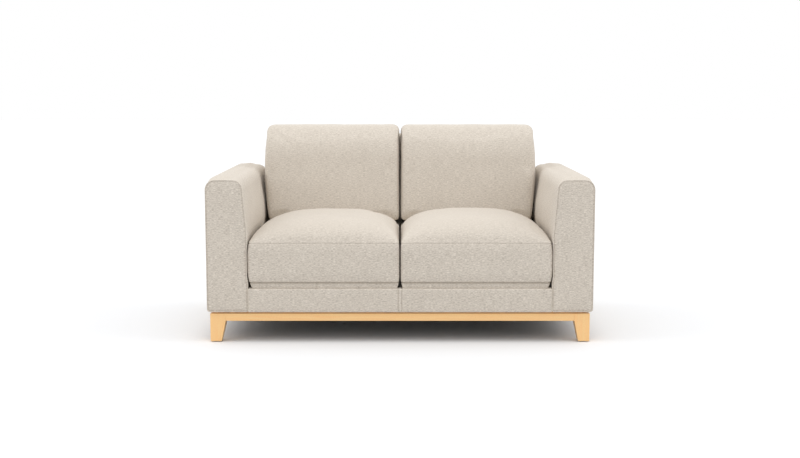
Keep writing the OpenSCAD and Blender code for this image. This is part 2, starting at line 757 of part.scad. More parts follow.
seat_side_rings = concat(
    [for (i = [0:lip_steps]) let (a = 90 * i / lip_steps)
        [seat_lip_h / 2 * (1 - sin(a)), rest_gap + (seat_lip_h - rest_gap) * (1 - cos(a))]],
    [[-seat_bulge, seat_lip_h + seat_boxing_h / 2], [0, seat_lip_h + seat_boxing_h]]
);
// The rear boxing stays flat where the placket of the zip is
function flat_rear(p, d) = [p[0], min(p[1], d / 2)];
seat_rings = concat(
    [for (s = seat_side_rings)
        [for (p = ring(seat_cushion_w / 2 - s[0], seat_cushion_d / 2 - s[0], seat_corner_r))
            let (q = flat_rear(p, seat_cushion_d)) [q[0], q[1], deck_z + s[1]]]],
    [for (s = seat_ring_shares)
        [for (p = ring(seat_cushion_w / 2 * s, seat_cushion_d / 2 * s, seat_corner_r * s))
            [p[0], p[1], seat_seam_z + seat_rise(p[0], p[1])]]]
);
module seat_form() {
    points = concat([for (r = seat_rings) each r],
                    [[0, 0, deck_z + rest_gap], [0, 0, seat_seam_z + seat_rise(0, 0)]]);
    translate([seat_cushion_x, seat_cushion_y, 0])
        polyhedron(points, skin_faces(len(seat_rings)), convexity = 4);
}
module seat_core() {
    x = seat_cushion_w / 2 - seat_wrap;
    box([seat_cushion_x - x, seat_cushion_x + x],
        [seat_front_y + seat_wrap, seat_rear_y - seat_wrap],
        [deck_z + seat_wrap / 2, seat_seam_z - seat_wrap / 4]);
}

// Back cushion: v is the height above its foot and w the distance in front of the inside back
back_rear_r = back_round_r / 4;
bow_share = 0.07;
back_flat_w = back_cushion_t * (1 - bow_share) - back_round_r;
edge_steps = 4;
// Each entry is how far the ring is drawn in, and its distance in front of the inside back
back_side_rings = concat(
    [for (i = [0:2]) let (a = 45 * i) [back_rear_r * (1 - sin(a)), back_rear_r * (1 - cos(a))]],
    [for (i = [0:edge_steps - 1]) let (a = 90 * i / edge_steps)
        [back_round_r * (1 - cos(a)), back_flat_w + back_round_r * sin(a)]]
);
back_ring_shares = [0.78, 0.58, 0.36, 0.16];
// Power that flattens the middle of the bow of a back cushion, and the bow at its middle
bow_flatness = 2.4;
back_bow_t = back_cushion_t - back_flat_w - back_round_r;
function back_bow(x, v) = back_bow_t * (1 - pow(abs(x) / (back_cushion_w / 2), bow_flatness))
    * (1 - pow(abs(v) / (back_cushion_h / 2), bow_flatness));
// The outer side narrows towards the seat, from this share of the height down
taper_from_share = 0.68;
taper_power = 1.5;
function outer_taper(x, v) =
    let (low = max(0, taper_from_share - 0.5 - v / back_cushion_h) / taper_from_share)
    x > 0 ? -back_taper * pow(low, taper_power) * x / (back_cushion_w / 2) : 0;
function back_point(x, v, w) = let (z = back_cushion_z + back_cushion_h / 2 + v)
    [x + outer_taper(x, v), inside_y(z) - rest_gap - w, z];
back_rings = concat(
    [for (s = back_side_rings)
        [for (p = ring(back_cushion_w / 2 - s[0], back_cushion_h / 2 - s[0], back_corner_r))
            back_point(p[0], p[1], s[1])]],
    [for (s = back_ring_shares)
        [for (p = ring(back_cushion_w / 2 * s, back_cushion_h / 2 * s, back_corner_r * s))
            back_point(p[0], p[1], back_flat_w + back_round_r + back_bow(p[0], p[1]))]]
);
module back_form() {
    points = concat([for (r = back_rings) each r],
                    [back_point(0, 0, 0), back_point(0, 0, back_flat_w + back_round_r + back_bow(0, 0))]);
    translate([back_cushion_x, 0, 0])
        polyhedron(points, [for (f = skin_faces(len(back_rings))) [f[2], f[1], f[0]]], convexity = 4);
}
module back_core() {
    x = back_cushion_w / 2 - back_wrap;
    along_x([back_cushion_x - x, back_cushion_x + x - back_taper]) polygon(slab(
        [back_cushion_z + back_wrap, back_cushion_z + back_cushion_h - back_wrap],
        [-back_cushion_t + back_round_r, -back_wrap]
    ));
}

// Zips: the placket is cut round the chain of teeth, and the slider lies over the chain
seat_zip_z = seat_low_seam_z + seat_boxing_h / 2;
back_zip_z = back_cushion_z + 2 * placket_h;
// A band along the rear of a cushion: z from its middle, depth into the cushion
function seat_band(z, d) = [
    [seat_rear_y - d[0], seat_zip_z + z[0]], [seat_rear_y - d[0], seat_zip_z + z[1]],
    [seat_rear_y - d[1], seat_zip_z + z[1]], [seat_rear_y - d[1], seat_zip_z + z[0]]
];
function back_band(z, d) =
    slab([back_zip_z + z[0], back_zip_z + z[1]], [-rest_gap - d[0], -rest_gap - d[1]]);
function band(on_seat, z, d) = on_seat ? seat_band(z, d) : back_band(z, d);
zip_half = zip_l / 2;
module placket(on_seat, x) {
    along_x([x - zip_half, x + zip_half]) difference() {
        polygon(band(on_seat, [-placket_h / 2, placket_h / 2], [-cut, placket_d]));
        polygon(band(on_seat, [-chain_h / 2, chain_h / 2], [placket_d - chain_t, placket_d + cut]));
    }
}
module zip_slider(on_seat, x) {
    top = placket_d - chain_t - rest_gap;
    start = x - zip_half + rest_gap;
    color([0.3, 0.3, 0.31]) {
        along_x([start, start + slider_l])
            polygon(band(on_seat, [-slider_h / 2, slider_h / 2], [top - slider_t, top]));
        pull_start = start + slider_l / 2;
        along_x([pull_start, pull_start + pull_l]) polygon(
            band(on_seat, [-chain_h / 2, chain_h / 2], [top - slider_t - pull_t, top - slider_t / 2]));
    }
}
module seat_cushion() {
    color([0.81, 0.77, 0.71]) difference() {
        seat_form();
        seat_core();
        placket(true, seat_cushion_x);
    }
}
module back_cushion() {
    color([0.81, 0.77, 0.71]) difference() {
        back_form();
        back_core();
        placket(false, back_cushion_x - back_taper / 2);
    }
}
module seat_cushion_core() { color([0.95, 0.93, 0.85]) seat_core(); }
module back_cushion_core() { color([0.95, 0.93, 0.85]) back_core(); }

mirror([0, 1, 0]) on_left() leg();  // leg_front_left
mirror([0, 1, 0]) leg();  // leg_front_right
on_left() leg();  // leg_rear_left
leg();  // leg_rear_right
leg_glides();
mirror([0, 1, 0]) plinth_long_rail();  // plinth_front_rail
plinth_long_rail();  // plinth_rear_rail
on_left() plinth_side_rail();  // plinth_side_rail_left
plinth_side_rail();  // plinth_side_rail_right
plinth_dowels();
plinth_corner_braces();
plinth_screws();
seat_front_rail();
seat_back_rail();
on_left() seat_side_rail();  // seat_side_rail_left
seat_side_rail();  // seat_side_rail_right
seat_centre_stretcher();
seat_corner_blocks();
seat_springs();
spring_clips();
deck_pad();
deck_cloth();
dust_cover();
on_left() arm_frame();  // arm_frame_left
arm_frame();  // arm_frame_right
on_left() arm_boards();  // arm_boards_left
arm_boards();  // arm_boards_right
on_left() arm_padding();  // arm_padding_left
arm_padding();  // arm_padding_right
on_left() arm_cover();  // arm_cover_left
arm_cover();  // arm_cover_right
on_left() arm_facing();  // arm_facing_left
arm_facing();  // arm_facing_right
on_left() arm_rear_panel();  // arm_rear_panel_left
arm_rear_panel();  // arm_rear_panel_right
arm_bolts();
back_posts();
back_rails();
back_webbing();
back_padding();
inside_back_cover();
outside_back_cover();
back_bolts();
front_rail_padding();
on_left() front_rail_cover();  // front_rail_cover_left
front_rail_cover();  // front_rail_cover_right
front_rail_strip();
on_left() seat_cushion();  // seat_cushion_left
seat_cushion();  // seat_cushion_right
on_left() seat_cushion_core();  // seat_cushion_core_left
seat_cushion_core();  // seat_cushion_core_right
on_left() back_cushion();  // back_cushion_left
back_cushion();  // back_cushion_right
on_left() back_cushion_core();  // back_cushion_core_left
back_cushion_core();  // back_cushion_core_right
zip_slider(true, -seat_cushion_x);  // seat_zip_slider_left
zip_slider(true, seat_cushion_x);  // seat_zip_slider_right
zip_slider(false, back_taper / 2 - back_cushion_x);  // back_zip_slider_left
zip_slider(false, back_cushion_x - back_taper / 2);  // back_zip_slider_right
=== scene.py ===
import math
import bpy
import bmesh
import numpy as np
from mathutils import Matrix, Vector, noise


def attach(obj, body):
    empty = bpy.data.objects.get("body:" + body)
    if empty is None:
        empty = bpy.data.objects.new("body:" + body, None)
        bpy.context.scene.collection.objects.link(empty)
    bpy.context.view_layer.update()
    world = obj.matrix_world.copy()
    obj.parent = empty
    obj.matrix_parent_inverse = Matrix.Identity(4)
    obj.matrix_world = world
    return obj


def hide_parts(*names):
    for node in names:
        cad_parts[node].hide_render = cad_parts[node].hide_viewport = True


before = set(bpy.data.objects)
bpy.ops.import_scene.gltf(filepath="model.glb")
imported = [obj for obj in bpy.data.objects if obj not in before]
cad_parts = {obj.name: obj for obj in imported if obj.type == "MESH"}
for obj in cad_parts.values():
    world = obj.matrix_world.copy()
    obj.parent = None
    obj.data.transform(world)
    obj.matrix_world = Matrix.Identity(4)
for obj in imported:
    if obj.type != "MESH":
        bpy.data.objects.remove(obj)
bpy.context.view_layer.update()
scene = bpy.context.scene
scene.view_settings.view_transform = "Standard"
MM = 0.001

# Camera
# Stands in front of the middle of the settee at about eye height, with a normal lens, and looks
# slightly down, so that the tops of the arms and of the seat cushions show.
lens = bpy.data.cameras.new("front_camera")
lens.sensor_width = 36
lens.lens = 53.04
front_camera = bpy.data.objects.new("front_camera", lens)
front_camera.location = (0, -5.261, 1.0618)
front_camera.rotation_euler = (math.radians(90 - 6.97), 0, 0)
scene.collection.objects.link(front_camera)
scene.camera = front_camera

# Studio
# A wide floor of white card, even daylight from all round, and three wide soft lamps: one
# overhead and one high up at each side.
# The camera sees the daylight and the lit card as white; only the settee's shadow is left on it.
FLOOR_HALF = 30


def node(tree, kind, inputs=None, **properties):
    """A shader or geometry node with its unlinked sockets and properties set"""
    made = tree.nodes.new(kind)
    for key, value in properties.items():
        setattr(made, key, value)
    for key, value in (inputs or {}).items():
        made.inputs[key].default_value = value
    return made


def link(tree, *joins):
    """Joins an output of one node to an input of another, for each four"""
    for source, out, target, into in joins:
        tree.links.new(source.outputs[out], target.inputs[into])


def add_object(name, data):
    obj = bpy.data.objects.new(name, data)
    scene.collection.objects.link(obj)
    return obj


def soft_lamp(name, energy, angle, tilt, turn):
    """A wide soft lamp that shines down and a little to the back, and from one side if it is turned"""
    light = bpy.data.lights.new(name, "SUN")
    light.energy = energy
    light.angle = angle
    add_object(name, light).rotation_euler = (math.radians(tilt), math.radians(turn), 0)


def new_finish(name, settings):
    """A material, its node tree, and its shader with some sockets set"""
    material = bpy.data.materials.new(name)
    material.use_nodes = True
    shader = material.node_tree.nodes["Principled BSDF"]
    for socket, value in settings.items():
        shader.inputs[socket].default_value = value
    return material, material.node_tree, shader


daylight = bpy.data.worlds.new("daylight")
scene.world = daylight
daylight.use_nodes = True
sky = daylight.node_tree
sky.nodes.clear()
white_sky = node(sky, "ShaderNodeBackground", {"Color": (1, 1, 1, 1), "Strength": 1.0})
sky_out = node(sky, "ShaderNodeOutputWorld")
link(sky, (white_sky, "Background", sky_out, "Surface"))
soft_lamp("overhead_lamp", 0.55, 0.36, 8, 0)
for lamp_side in (-1, 1):
    soft_lamp("side_lamp", 0.45, 0.7, 4, 58 * lamp_side)

floor_corners = [(x * FLOOR_HALF, y * FLOOR_HALF, 0) for x, y in ((-1, -1), (1, -1), (1, 1), (-1, 1))]
floor_mesh = bpy.data.meshes.new("studio_floor")
floor_mesh.from_pydata(floor_corners, [], [(0, 1, 2, 3)])
studio_floor = add_object("studio_floor", floor_mesh)
# The card gives a little less light back to the settee than it shows to the camera
card, card_tree, card_shader = new_finish("white_card", {"Roughness": 1.0, "Specular IOR Level": 0.0})
card_seen = node(card_tree, "ShaderNodeLightPath")
card_tone = node(card_tree, "ShaderNodeMix", data_type="RGBA")
card_tone.inputs[6].default_value = (0.62, 0.62, 0.62, 1)
card_tone.inputs[7].default_value = (0.82, 0.828, 0.842, 1)
link(card_tree, (card_seen, "Is Camera Ray", card_tone, 0), (card_tone, 2, card_shader, "Base Color"))
floor_mesh.materials.append(card)

# Glides
# A black nylon disc with a moulded nail, hammered up into the end grain of each leg, so that the
# settee slides without marking the floor.


def two_tones(tree, dark, light):
    """A ramp from a dark colour to a light one, over the middle of a noise's range"""
    tones = node(tree, "ShaderNodeValToRGB")
    for i, (position, colour) in enumerate(((0.3, dark), (0.7, light))):
        tones.color_ramp.elements[i].position = position
        tones.color_ramp.elements[i].color = (*colour, 1)
    return tones


def mottled(name, dark, light, scale, roughness, relief=0.0, stretch=(1, 1, 1), metallic=0.0):
    """A finish that wanders between two colours over the object, with some relief"""
    material, tree, shader = new_finish(name, {"Roughness": roughness, "Metallic": metallic})
    place = node(tree, "ShaderNodeTexCoord")
    stretched = node(tree, "ShaderNodeMapping", {"Scale": stretch})
    wander = node(tree, "ShaderNodeTexNoise", {"Scale": scale, "Detail": 4, "Roughness": 0.6})
    tones = two_tones(tree, dark, light)
    link(tree, (place, "Object", stretched, "Vector"), (stretched, "Vector", wander, "Vector"),
         (wander, "Fac", tones, "Fac"), (tones, "Color", shader, "Base Color"))
    if relief:
        bump = node(tree, "ShaderNodeBump", {"Strength": relief, "Distance": 0.0006})
        link(tree, (wander, "Fac", bump, "Height"), (bump, "Normal", shader, "Normal"))
    return material


def finish_nodes(material, *names):
    """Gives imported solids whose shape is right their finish"""
    for name in names:
        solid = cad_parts[name]
        solid.data.materials.clear()
        solid.data.materials.append(material)


glide_nylon = mottled("glide_nylon", (0.025, 0.025, 0.027), (0.05, 0.05, 0.052), 900, 0.5, 0.2)
finish_nodes(glide_nylon, "leg_glides")

# Legs and plinth
# Solid beech under clear satin lacquer. The legs taper on their two inner faces and stand flush
# with the plinth rails, dowelled and glued between them. Their outer top edge is rebated, which
# leaves a thin line of shadow under the covers, and every edge is lightly eased.
LEG_TOP, BODY_FOOT, PLINTH_X, PLINTH_Y, RAIL_T = 89, 127, 788, 448, 30
LEG_W, LEG_FOOT, GLIDE_T, EASED, REBATE_H, REBATE_T = 64, 46, 3, 1.2, 6.9, 12


def beech(name, dark, light, fleck):
    """Straight-grained lacquered beech; the grain runs along the first direction of the UV map"""
    lacquer = {"Roughness": 0.4, "Coat Weight": 0.7, "Coat Roughness": 0.28}
    material, tree, shader = new_finish(name, lacquer)
    lie = node(tree, "ShaderNodeUVMap", uv_map="grain")
    long_grain = node(tree, "ShaderNodeMapping", {"Scale": (7, 95, 1)})
    rings = node(tree, "ShaderNodeTexNoise", {"Scale": 1, "Detail": 5, "Roughness": 0.55, "Distortion": 0.4},
                 noise_dimensions="2D")
    tones = two_tones(tree, dark, light)
    short_grain = node(tree, "ShaderNodeMapping", {"Scale": (260, 1500, 1)})
    flecks = node(tree, "ShaderNodeTexNoise", {"Scale": 1, "Detail": 1}, noise_dimensions="2D")
    rare = node(tree, "ShaderNodeMapRange", {"From Min": 0.62, "From Max": 0.72, "To Min": 0, "To Max": 0.5})
    flecked = node(tree, "ShaderNodeMix", data_type="RGBA")
    flecked.inputs[7].default_value = (*fleck, 1)
    bump = node(tree, "ShaderNodeBump", {"Strength": 0.12, "Distance": 0.0003})
    link(tree, (lie, "UV", long_grain, "Vector"), (lie, "UV", short_grain, "Vector"),
         (long_grain, "Vector", rings, "Vector"), (short_grain, "Vector", flecks, "Vector"),
         (rings, "Fac", tones, "Fac"), (flecks, "Fac", rare, "Value"), (rare, "Result", flecked, 0),
         (tones, "Color", flecked, 6), (flecked, 2, shader, "Base Color"), (rings, "Fac", bump, "Height"),
         (bump, "Normal", shader, "Normal"))
    return material


def face_axes(mesh):
    """Corner positions of a mesh, and the main direction of the face that each corner belongs to"""
    co = np.empty(len(mesh.vertices) * 3)
    mesh.vertices.foreach_get("co", co)
    corner = np.empty(len(mesh.loops), int)
    mesh.loops.foreach_get("vertex_index", corner)
    normal = np.empty(len(mesh.polygons) * 3)
    mesh.polygons.foreach_get("normal", normal)
    count = np.empty(len(mesh.polygons), int)
    mesh.polygons.foreach_get("loop_total", count)
    axis = np.abs(normal.reshape(-1, 3)).argmax(axis=1)
    return co.reshape(-1, 3)[corner], np.repeat(axis, count)


def lay_grain(obj, along, shift):
    """A UV map in metres that runs along one axis of the piece"""
    place, axis = face_axes(obj.data)
    across = [a for a in (0, 1, 2) if a != along]
    other = np.where(axis == across[0], across[1], across[0])
    uv = np.stack([place[:, along] + shift, place[np.arange(len(place)), other] + 3 * shift], axis=1)
    obj.data.uv_layers.new(name="grain").data.foreach_set("uv", uv.astype(np.float32).ravel())


def settled(obj):
    """The same piece with its modifiers worked into a plain mesh"""
    shape = bpy.data.meshes.new_from_object(obj.evaluated_get(bpy.context.evaluated_depsgraph_get()))
    obj.modifiers.clear()
    old = obj.data
    obj.data = shape
    bpy.data.meshes.remove(old)
    shape.name = obj.name
    return obj


def timber(name, levels, along, shift, material):
    """A length of timber from its outlines at rising heights, with eased edges"""
    build = bmesh.new()
    rings = [[build.verts.new((x * MM, y * MM, z * MM)) for x, y in outline] for z, outline in levels]
    for lower, upper in zip(rings, rings[1:]):
        for i in range(4):
            k = (i + 1) % 4
            build.faces.new((lower[i], lower[k], upper[k], upper[i]))
    build.faces.new(rings[0])
    build.faces.new(rings[-1])
    bmesh.ops.remove_doubles(build, verts=build.verts, dist=0.00002)
    bmesh.ops.recalc_face_normals(build, faces=build.faces)
    edges = [e for e in build.edges if e.calc_face_angle() > math.radians(25)]
    bmesh.ops.bevel(build, geom=edges, offset=EASED * MM, segments=3, profile=0.5, affect="EDGES")
    for face in build.faces:
        face.smooth = True
    mesh = bpy.data.meshes.new(name)
    build.to_mesh(mesh)
    build.free()
    piece = add_object(name, mesh)
    lay_grain(piece, along, shift)
    piece.modifiers.new("flat_faces", "WEIGHTED_NORMAL")
    settled(piece)
    piece.data.materials.append(material)
    return piece


def rebated(whole, cut):
    """Outlines from the top of the legs' taper to the top of the plinth, where the edge is cut back"""
    neck = BODY_FOOT - REBATE_H
    return [(LEG_TOP, whole), (neck, whole), (neck, cut), (BODY_FOOT, cut)]


def leg_outline(sx, sy, width, cut=0):
    """A leg's outline, square and flush with the plinth on its two outer faces"""
    x, y = PLINTH_X - cut, PLINTH_Y - cut
    inner_x, inner_y = PLINTH_X - width, PLINTH_Y - width
    return [(sx * x, sy * y), (sx * inner_x, sy * y), (sx * inner_x, sy * inner_y), (sx * x, sy * inner_y)]


def rail_outline(face, half_length, sign, cut=0):
    """A rail's outline: across it from its inner face to its outer one, and along it"""
    inner, outer = sign * (face - RAIL_T), sign * (face - cut)
    return [(inner, -half_length), (outer, -half_length), (outer, half_length), (inner, half_length)]


lacquered_beech = beech("lacquered_beech", (1.0, 0.588, 0.24), (1.0, 0.648, 0.284), (0.62, 0.34, 0.13))
for side, sx in (("left", -1), ("right", 1)):
    for end, sy in (("front", -1), ("rear", 1)):
        levels = [(GLIDE_T, leg_outline(sx, sy, LEG_FOOT))]
        levels += rebated(leg_outline(sx, sy, LEG_W), leg_outline(sx, sy, LEG_W, REBATE_T))
        leg = timber("leg_%s_%s_beech" % (end, side), levels, 2, 0.37 * sx + 0.11 * sy, lacquered_beech)
        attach(leg, "settee_frame")
        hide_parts("leg_%s_%s" % (end, side))
    outlines = [rail_outline(PLINTH_X, PLINTH_Y - LEG_W, sx, cut) for cut in (0, REBATE_T)]
    side_rail = timber("plinth_side_%s_beech" % side, rebated(*outlines), 1, 0.7 * sx, lacquered_beech)
    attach(side_rail, "settee_frame")
    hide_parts("plinth_side_rail_%s" % side)
for end, sy in (("front", -1), ("rear", 1)):
    outlines = [[(along, across) for across, along in rail_outline(PLINTH_Y, PLINTH_X - LEG_W, sy, cut)]
                for cut in (0, REBATE_T)]
    long_rail = timber("plinth_%s_beech" % end, rebated(*outlines), 0, 0.43 * sy, lacquered_beech)
    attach(long_rail, "settee_frame")
    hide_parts("plinth_%s_rail" % end)

# Dowels, braces and screws of the plinth
# Fluted beech dowels are glued into the rails. A brace of planed softwood fits round the inside of
# each leg, and two pan-head wood screws go up through it into the arm frame.
BRACE_L, BRACE_T, SCREW_R, SCREW_L, RECESS_R, HEAD_R, HEAD_H = 120, 15, 2.5, 45, 1.7, 5, 3
SCREW_SHARES = ((0.17, 0.6), (0.6, 0.17))
dowel_beech = mottled("dowel_beech", (0.55, 0.37, 0.2), (0.66, 0.46, 0.27), 60, 0.7, 0.1, (1, 1, 6))
planed_pine = mottled("planed_pine", (0.52, 0.36, 0.19), (0.68, 0.5, 0.3), 9, 0.65, 0.15, (4, 1.5, 9))
finish_nodes(dowel_beech, "plinth_dowels")
finish_nodes(planed_pine, "plinth_corner_braces")
zinc = mottled("zinc_plate", (0.5, 0.5, 0.49), (0.68, 0.68, 0.66), 300, 0.38, 0.05, metallic=1.0)


def by_nodes(name, points, edges, inputs, material, grow):
    """A plain mesh that geometry nodes make from a guide; grow adds its nodes and gives their output"""
    guide = bpy.data.meshes.new(name)
    guide.from_pydata([tuple(c * MM for c in p) for p in points], edges, [])
    piece = add_object(name, guide)
    tree = bpy.data.node_groups.new(name, "GeometryNodeTree")
    tree.interface.new_socket(name="Geometry", in_out="INPUT", socket_type="NodeSocketGeometry")
    repeat = piece.modifiers.new("nodes", "NODES")
    set_to = []
    for label, (kind, value) in {**inputs, "Finish": ("NodeSocketMaterial", material)}.items():
        socket = tree.interface.new_socket(name=label, in_out="INPUT", socket_type=kind)
        set_to.append((socket.identifier, value))
    tree.interface.new_socket(name="Geometry", in_out="OUTPUT", socket_type="NodeSocketGeometry")
    given = node(tree, "NodeGroupInput")
    real = node(tree, "GeometryNodeRealizeInstances")
    finish = node(tree, "GeometryNodeSetMaterial")
    wanted = node(tree, "NodeGroupOutput")
    tree.links.new(grow(tree, given), real.inputs["Geometry"])
    link(tree, (real, "Geometry", finish, "Geometry"), (given, "Finish", finish, "Material"),
         (finish, "Geometry", wanted, "Geometry"))
    repeat.node_group = tree
    for identifier, value in set_to:
        repeat[identifier] = value
    settled(piece)
    bpy.data.node_groups.remove(tree)
    return piece


def along_path(name, shape, points, edges, spacing, material, turn=0.0):
    """Copies of a small shape, set out along a path by geometry nodes, or one on each loose point"""

    def set_out(tree, given):
        template = node(tree, "GeometryNodeObjectInfo")
        copies = node(tree, "GeometryNodeInstanceOnPoints")
        link(tree, (given, "Shape", template, "Object"), (template, "Geometry", copies, "Instance"))
        if not edges:
            link(tree, (given, "Geometry", copies, "Points"))
            return copies.outputs["Instances"]
        curve = node(tree, "GeometryNodeMeshToCurve")
        steps = node(tree, "GeometryNodeResampleCurve", mode="LENGTH")
        tangent = node(tree, "GeometryNodeInputTangent")
        aligned = node(tree, "FunctionNodeAlignRotationToVector", axis="X")
        spin = node(tree, "FunctionNodeRotateRotation", rotation_space="LOCAL")
        angle = node(tree, "ShaderNodeCombineXYZ")
        link(tree, (given, "Geometry", curve, "Mesh"), (curve, "Curve", steps, "Curve"),
             (given, "Spacing", steps, "Length"), (steps, "Curve", copies, "Points"),
             (tangent, "Tangent", aligned, "Vector"), (aligned, "Rotation", spin, "Rotation"),
             (given, "Turn", angle, "X"), (angle, "Vector", spin, "Rotate By"),
             (spin, "Rotation", copies, "Rotation"))
        return copies.outputs["Instances"]

    inputs = {"Shape": ("NodeSocketObject", shape), "Spacing": ("NodeSocketFloat", spacing * MM),
              "Turn": ("NodeSocketFloat", turn)}
    return by_nodes(name, points, edges, inputs, material, set_out)


def lathe(name, profile, steps):
    """A closed round shape about the Z axis from its half profile in millimetres, foot to top"""
    build = bmesh.new()
    rings = []
    for r, z in profile:
        if r == 0:
            rings.append([build.verts.new((0, 0, z * MM))])
        else:
            rings.append([build.verts.new((r * MM * math.cos(2 * math.pi * i / steps),
                                           r * MM * math.sin(2 * math.pi * i / steps), z * MM))
                          for i in range(steps)])
    for lower, upper in zip(rings, rings[1:]):
        for i in range(steps):
            k = (i + 1) % steps
            if len(lower) == 1:
                build.faces.new((lower[0], upper[k], upper[i]))
            elif len(upper) == 1:
                build.faces.new((lower[i], lower[k], upper[0]))
            else:
                build.faces.new((lower[i], lower[k], upper[k], upper[i]))
    bmesh.ops.recalc_face_normals(build, faces=build.faces)
    mesh = bpy.data.meshes.new(name)
    build.to_mesh(mesh)
    build.free()
    return add_object(name, mesh)


# The head has a round recess for the driver, and the shank is plain under the head
recess_profile = [(0, 1.6 - HEAD_H), (RECESS_R - 0.2, 1.4 - HEAD_H), (RECESS_R, -HEAD_H)]
head_profile = [(HEAD_R - 1.8, 0.1 - HEAD_H), (HEAD_R - 0.6, 0.8 - HEAD_H), (HEAD_R, -0.9), (HEAD_R, 0)]
shank_profile = [(SCREW_R, 0.05), (SCREW_R, SCREW_L - 2), (0, SCREW_L)]
screw_shape = lathe("screw_shape", recess_profile + head_profile + shank_profile, 16)
brace_x, brace_y = PLINTH_X - RAIL_T, PLINTH_Y - RAIL_T
screw_places = [(sx * (brace_x - BRACE_L * a), sy * (brace_y - BRACE_L * b), BODY_FOOT - BRACE_T)
                for sx in (-1, 1) for sy in (-1, 1) for a, b in SCREW_SHARES]
plinth_screws = along_path("plinth_pan_screws", screw_shape, screw_places, [], 1, zinc)
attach(plinth_screws, "settee_frame")
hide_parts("plinth_screws")
bpy.data.objects.remove(screw_shape)

# Seat frame
# Rails of rough-planed softwood, screwed and glued with a block in each corner, and bolted to the
# arms and the back posts. A stretcher in the middle keeps the long rails apart.
frame_timber = mottled("frame_timber", (0.5, 0.35, 0.19), (0.64, 0.47, 0.28), 7, 0.8, 0.2, (1.2, 5, 9))
finish_nodes(frame_timber, "seat_front_rail", "seat_back_rail", "seat_side_rail_left", "seat_side_rail_right",
             "seat_centre_stretcher", "seat_corner_blocks", "arm_frame_left", "arm_frame_right",
             "back_posts", "back_rails")
bolt_steel = mottled("bolt_steel", (0.42, 0.42, 0.42), (0.6, 0.6, 0.6), 250, 0.42, 0.05, metallic=1.0)
finish_nodes(bolt_steel, "arm_bolts", "back_bolts", "spring_clips")

# Springs
# Ten zigzag springs of hard-drawn wire, bent cold and hooked into folded clips on the front and
# back rails; each end bar lies in a clip.
ARM_IN, RAIL_TOP, CLIP_H, WIRE_D = 629, 205, 7, 3.8
SPRING_N, SPRING_W, SPRING_FRONT, SPRING_REAR, TURNS, BEND_STEPS = 10, 54, -430.0, 279.16, 19, 8
spring_z = RAIL_TOP + CLIP_H / 2
spring_step = 2 * ARM_IN / SPRING_N
turn_r = (SPRING_REAR - SPRING_FRONT) / (2 * TURNS)
bar_half = SPRING_W / 2 - turn_r
wire_line = [(-bar_half, SPRING_FRONT)]
for i in range(TURNS):
    way = 1 if i % 2 == 0 else -1
    for a in np.radians(np.linspace(-90, 90, BEND_STEPS + 1)):
        wire_line.append((way * (bar_half + turn_r * math.cos(a)),
                          SPRING_FRONT + (2 * i + 1) * turn_r + turn_r * math.sin(a)))
wire_line.append((-bar_half, SPRING_REAR))
wires, wire_edges = [], []
for i in range(SPRING_N):
    middle = -ARM_IN + spring_step * (i + 0.5)
    first = len(wires)
    wires += [(middle + x, y, spring_z) for x, y in wire_line]
    wire_edges += [(first + k, first + k + 1) for k in range(len(wire_line) - 1)]


def round_wire(name, points, edges, diameter, material):
    """Round wire along a path, by geometry nodes"""

    def draw(tree, given):
        curve = node(tree, "GeometryNodeMeshToCurve")
        gauge = node(tree, "GeometryNodeCurvePrimitiveCircle", {"Resolution": 8})
        drawn = node(tree, "GeometryNodeCurveToMesh", {"Fill Caps": True})
        link(tree, (given, "Geometry", curve, "Mesh"), (given, "Radius", gauge, "Radius"),
             (curve, "Curve", drawn, "Curve"), (gauge, "Curve", drawn, "Profile Curve"))
        return drawn.outputs["Mesh"]

    return by_nodes(name, points, edges, {"Radius": ("NodeSocketFloat", diameter / 2 * MM)}, material, draw)


spring_steel = mottled("spring_steel", (0.3, 0.3, 0.31), (0.45, 0.45, 0.46), 120, 0.4, 0.05, metallic=1.0)
springs = round_wire("zigzag_springs", wires, wire_edges, WIRE_D, spring_steel)
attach(springs, "settee_frame")
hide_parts("seat_springs")

# Deck
# A felt pad over the springs, under a plain heavy deck cloth that is sewn to the front rail cover
# and tacked to the rear rail. The cloth shows only when a seat cushion is drawn out.
DECK_Z, DECK_T, FLANGE_Y, HEM, SIDE_HEM = 227, 4, -402, 12, 14
REAR_Y, BACK_Z, BACK_TOP_T, BACK_LEAN = 460, 830, 107, 8


def inside_y(z):
    """Where the leaning front of the back stands at a height"""
    return REAR_Y - BACK_TOP_T - (BACK_Z - z) * math.tan(math.radians(BACK_LEAN))


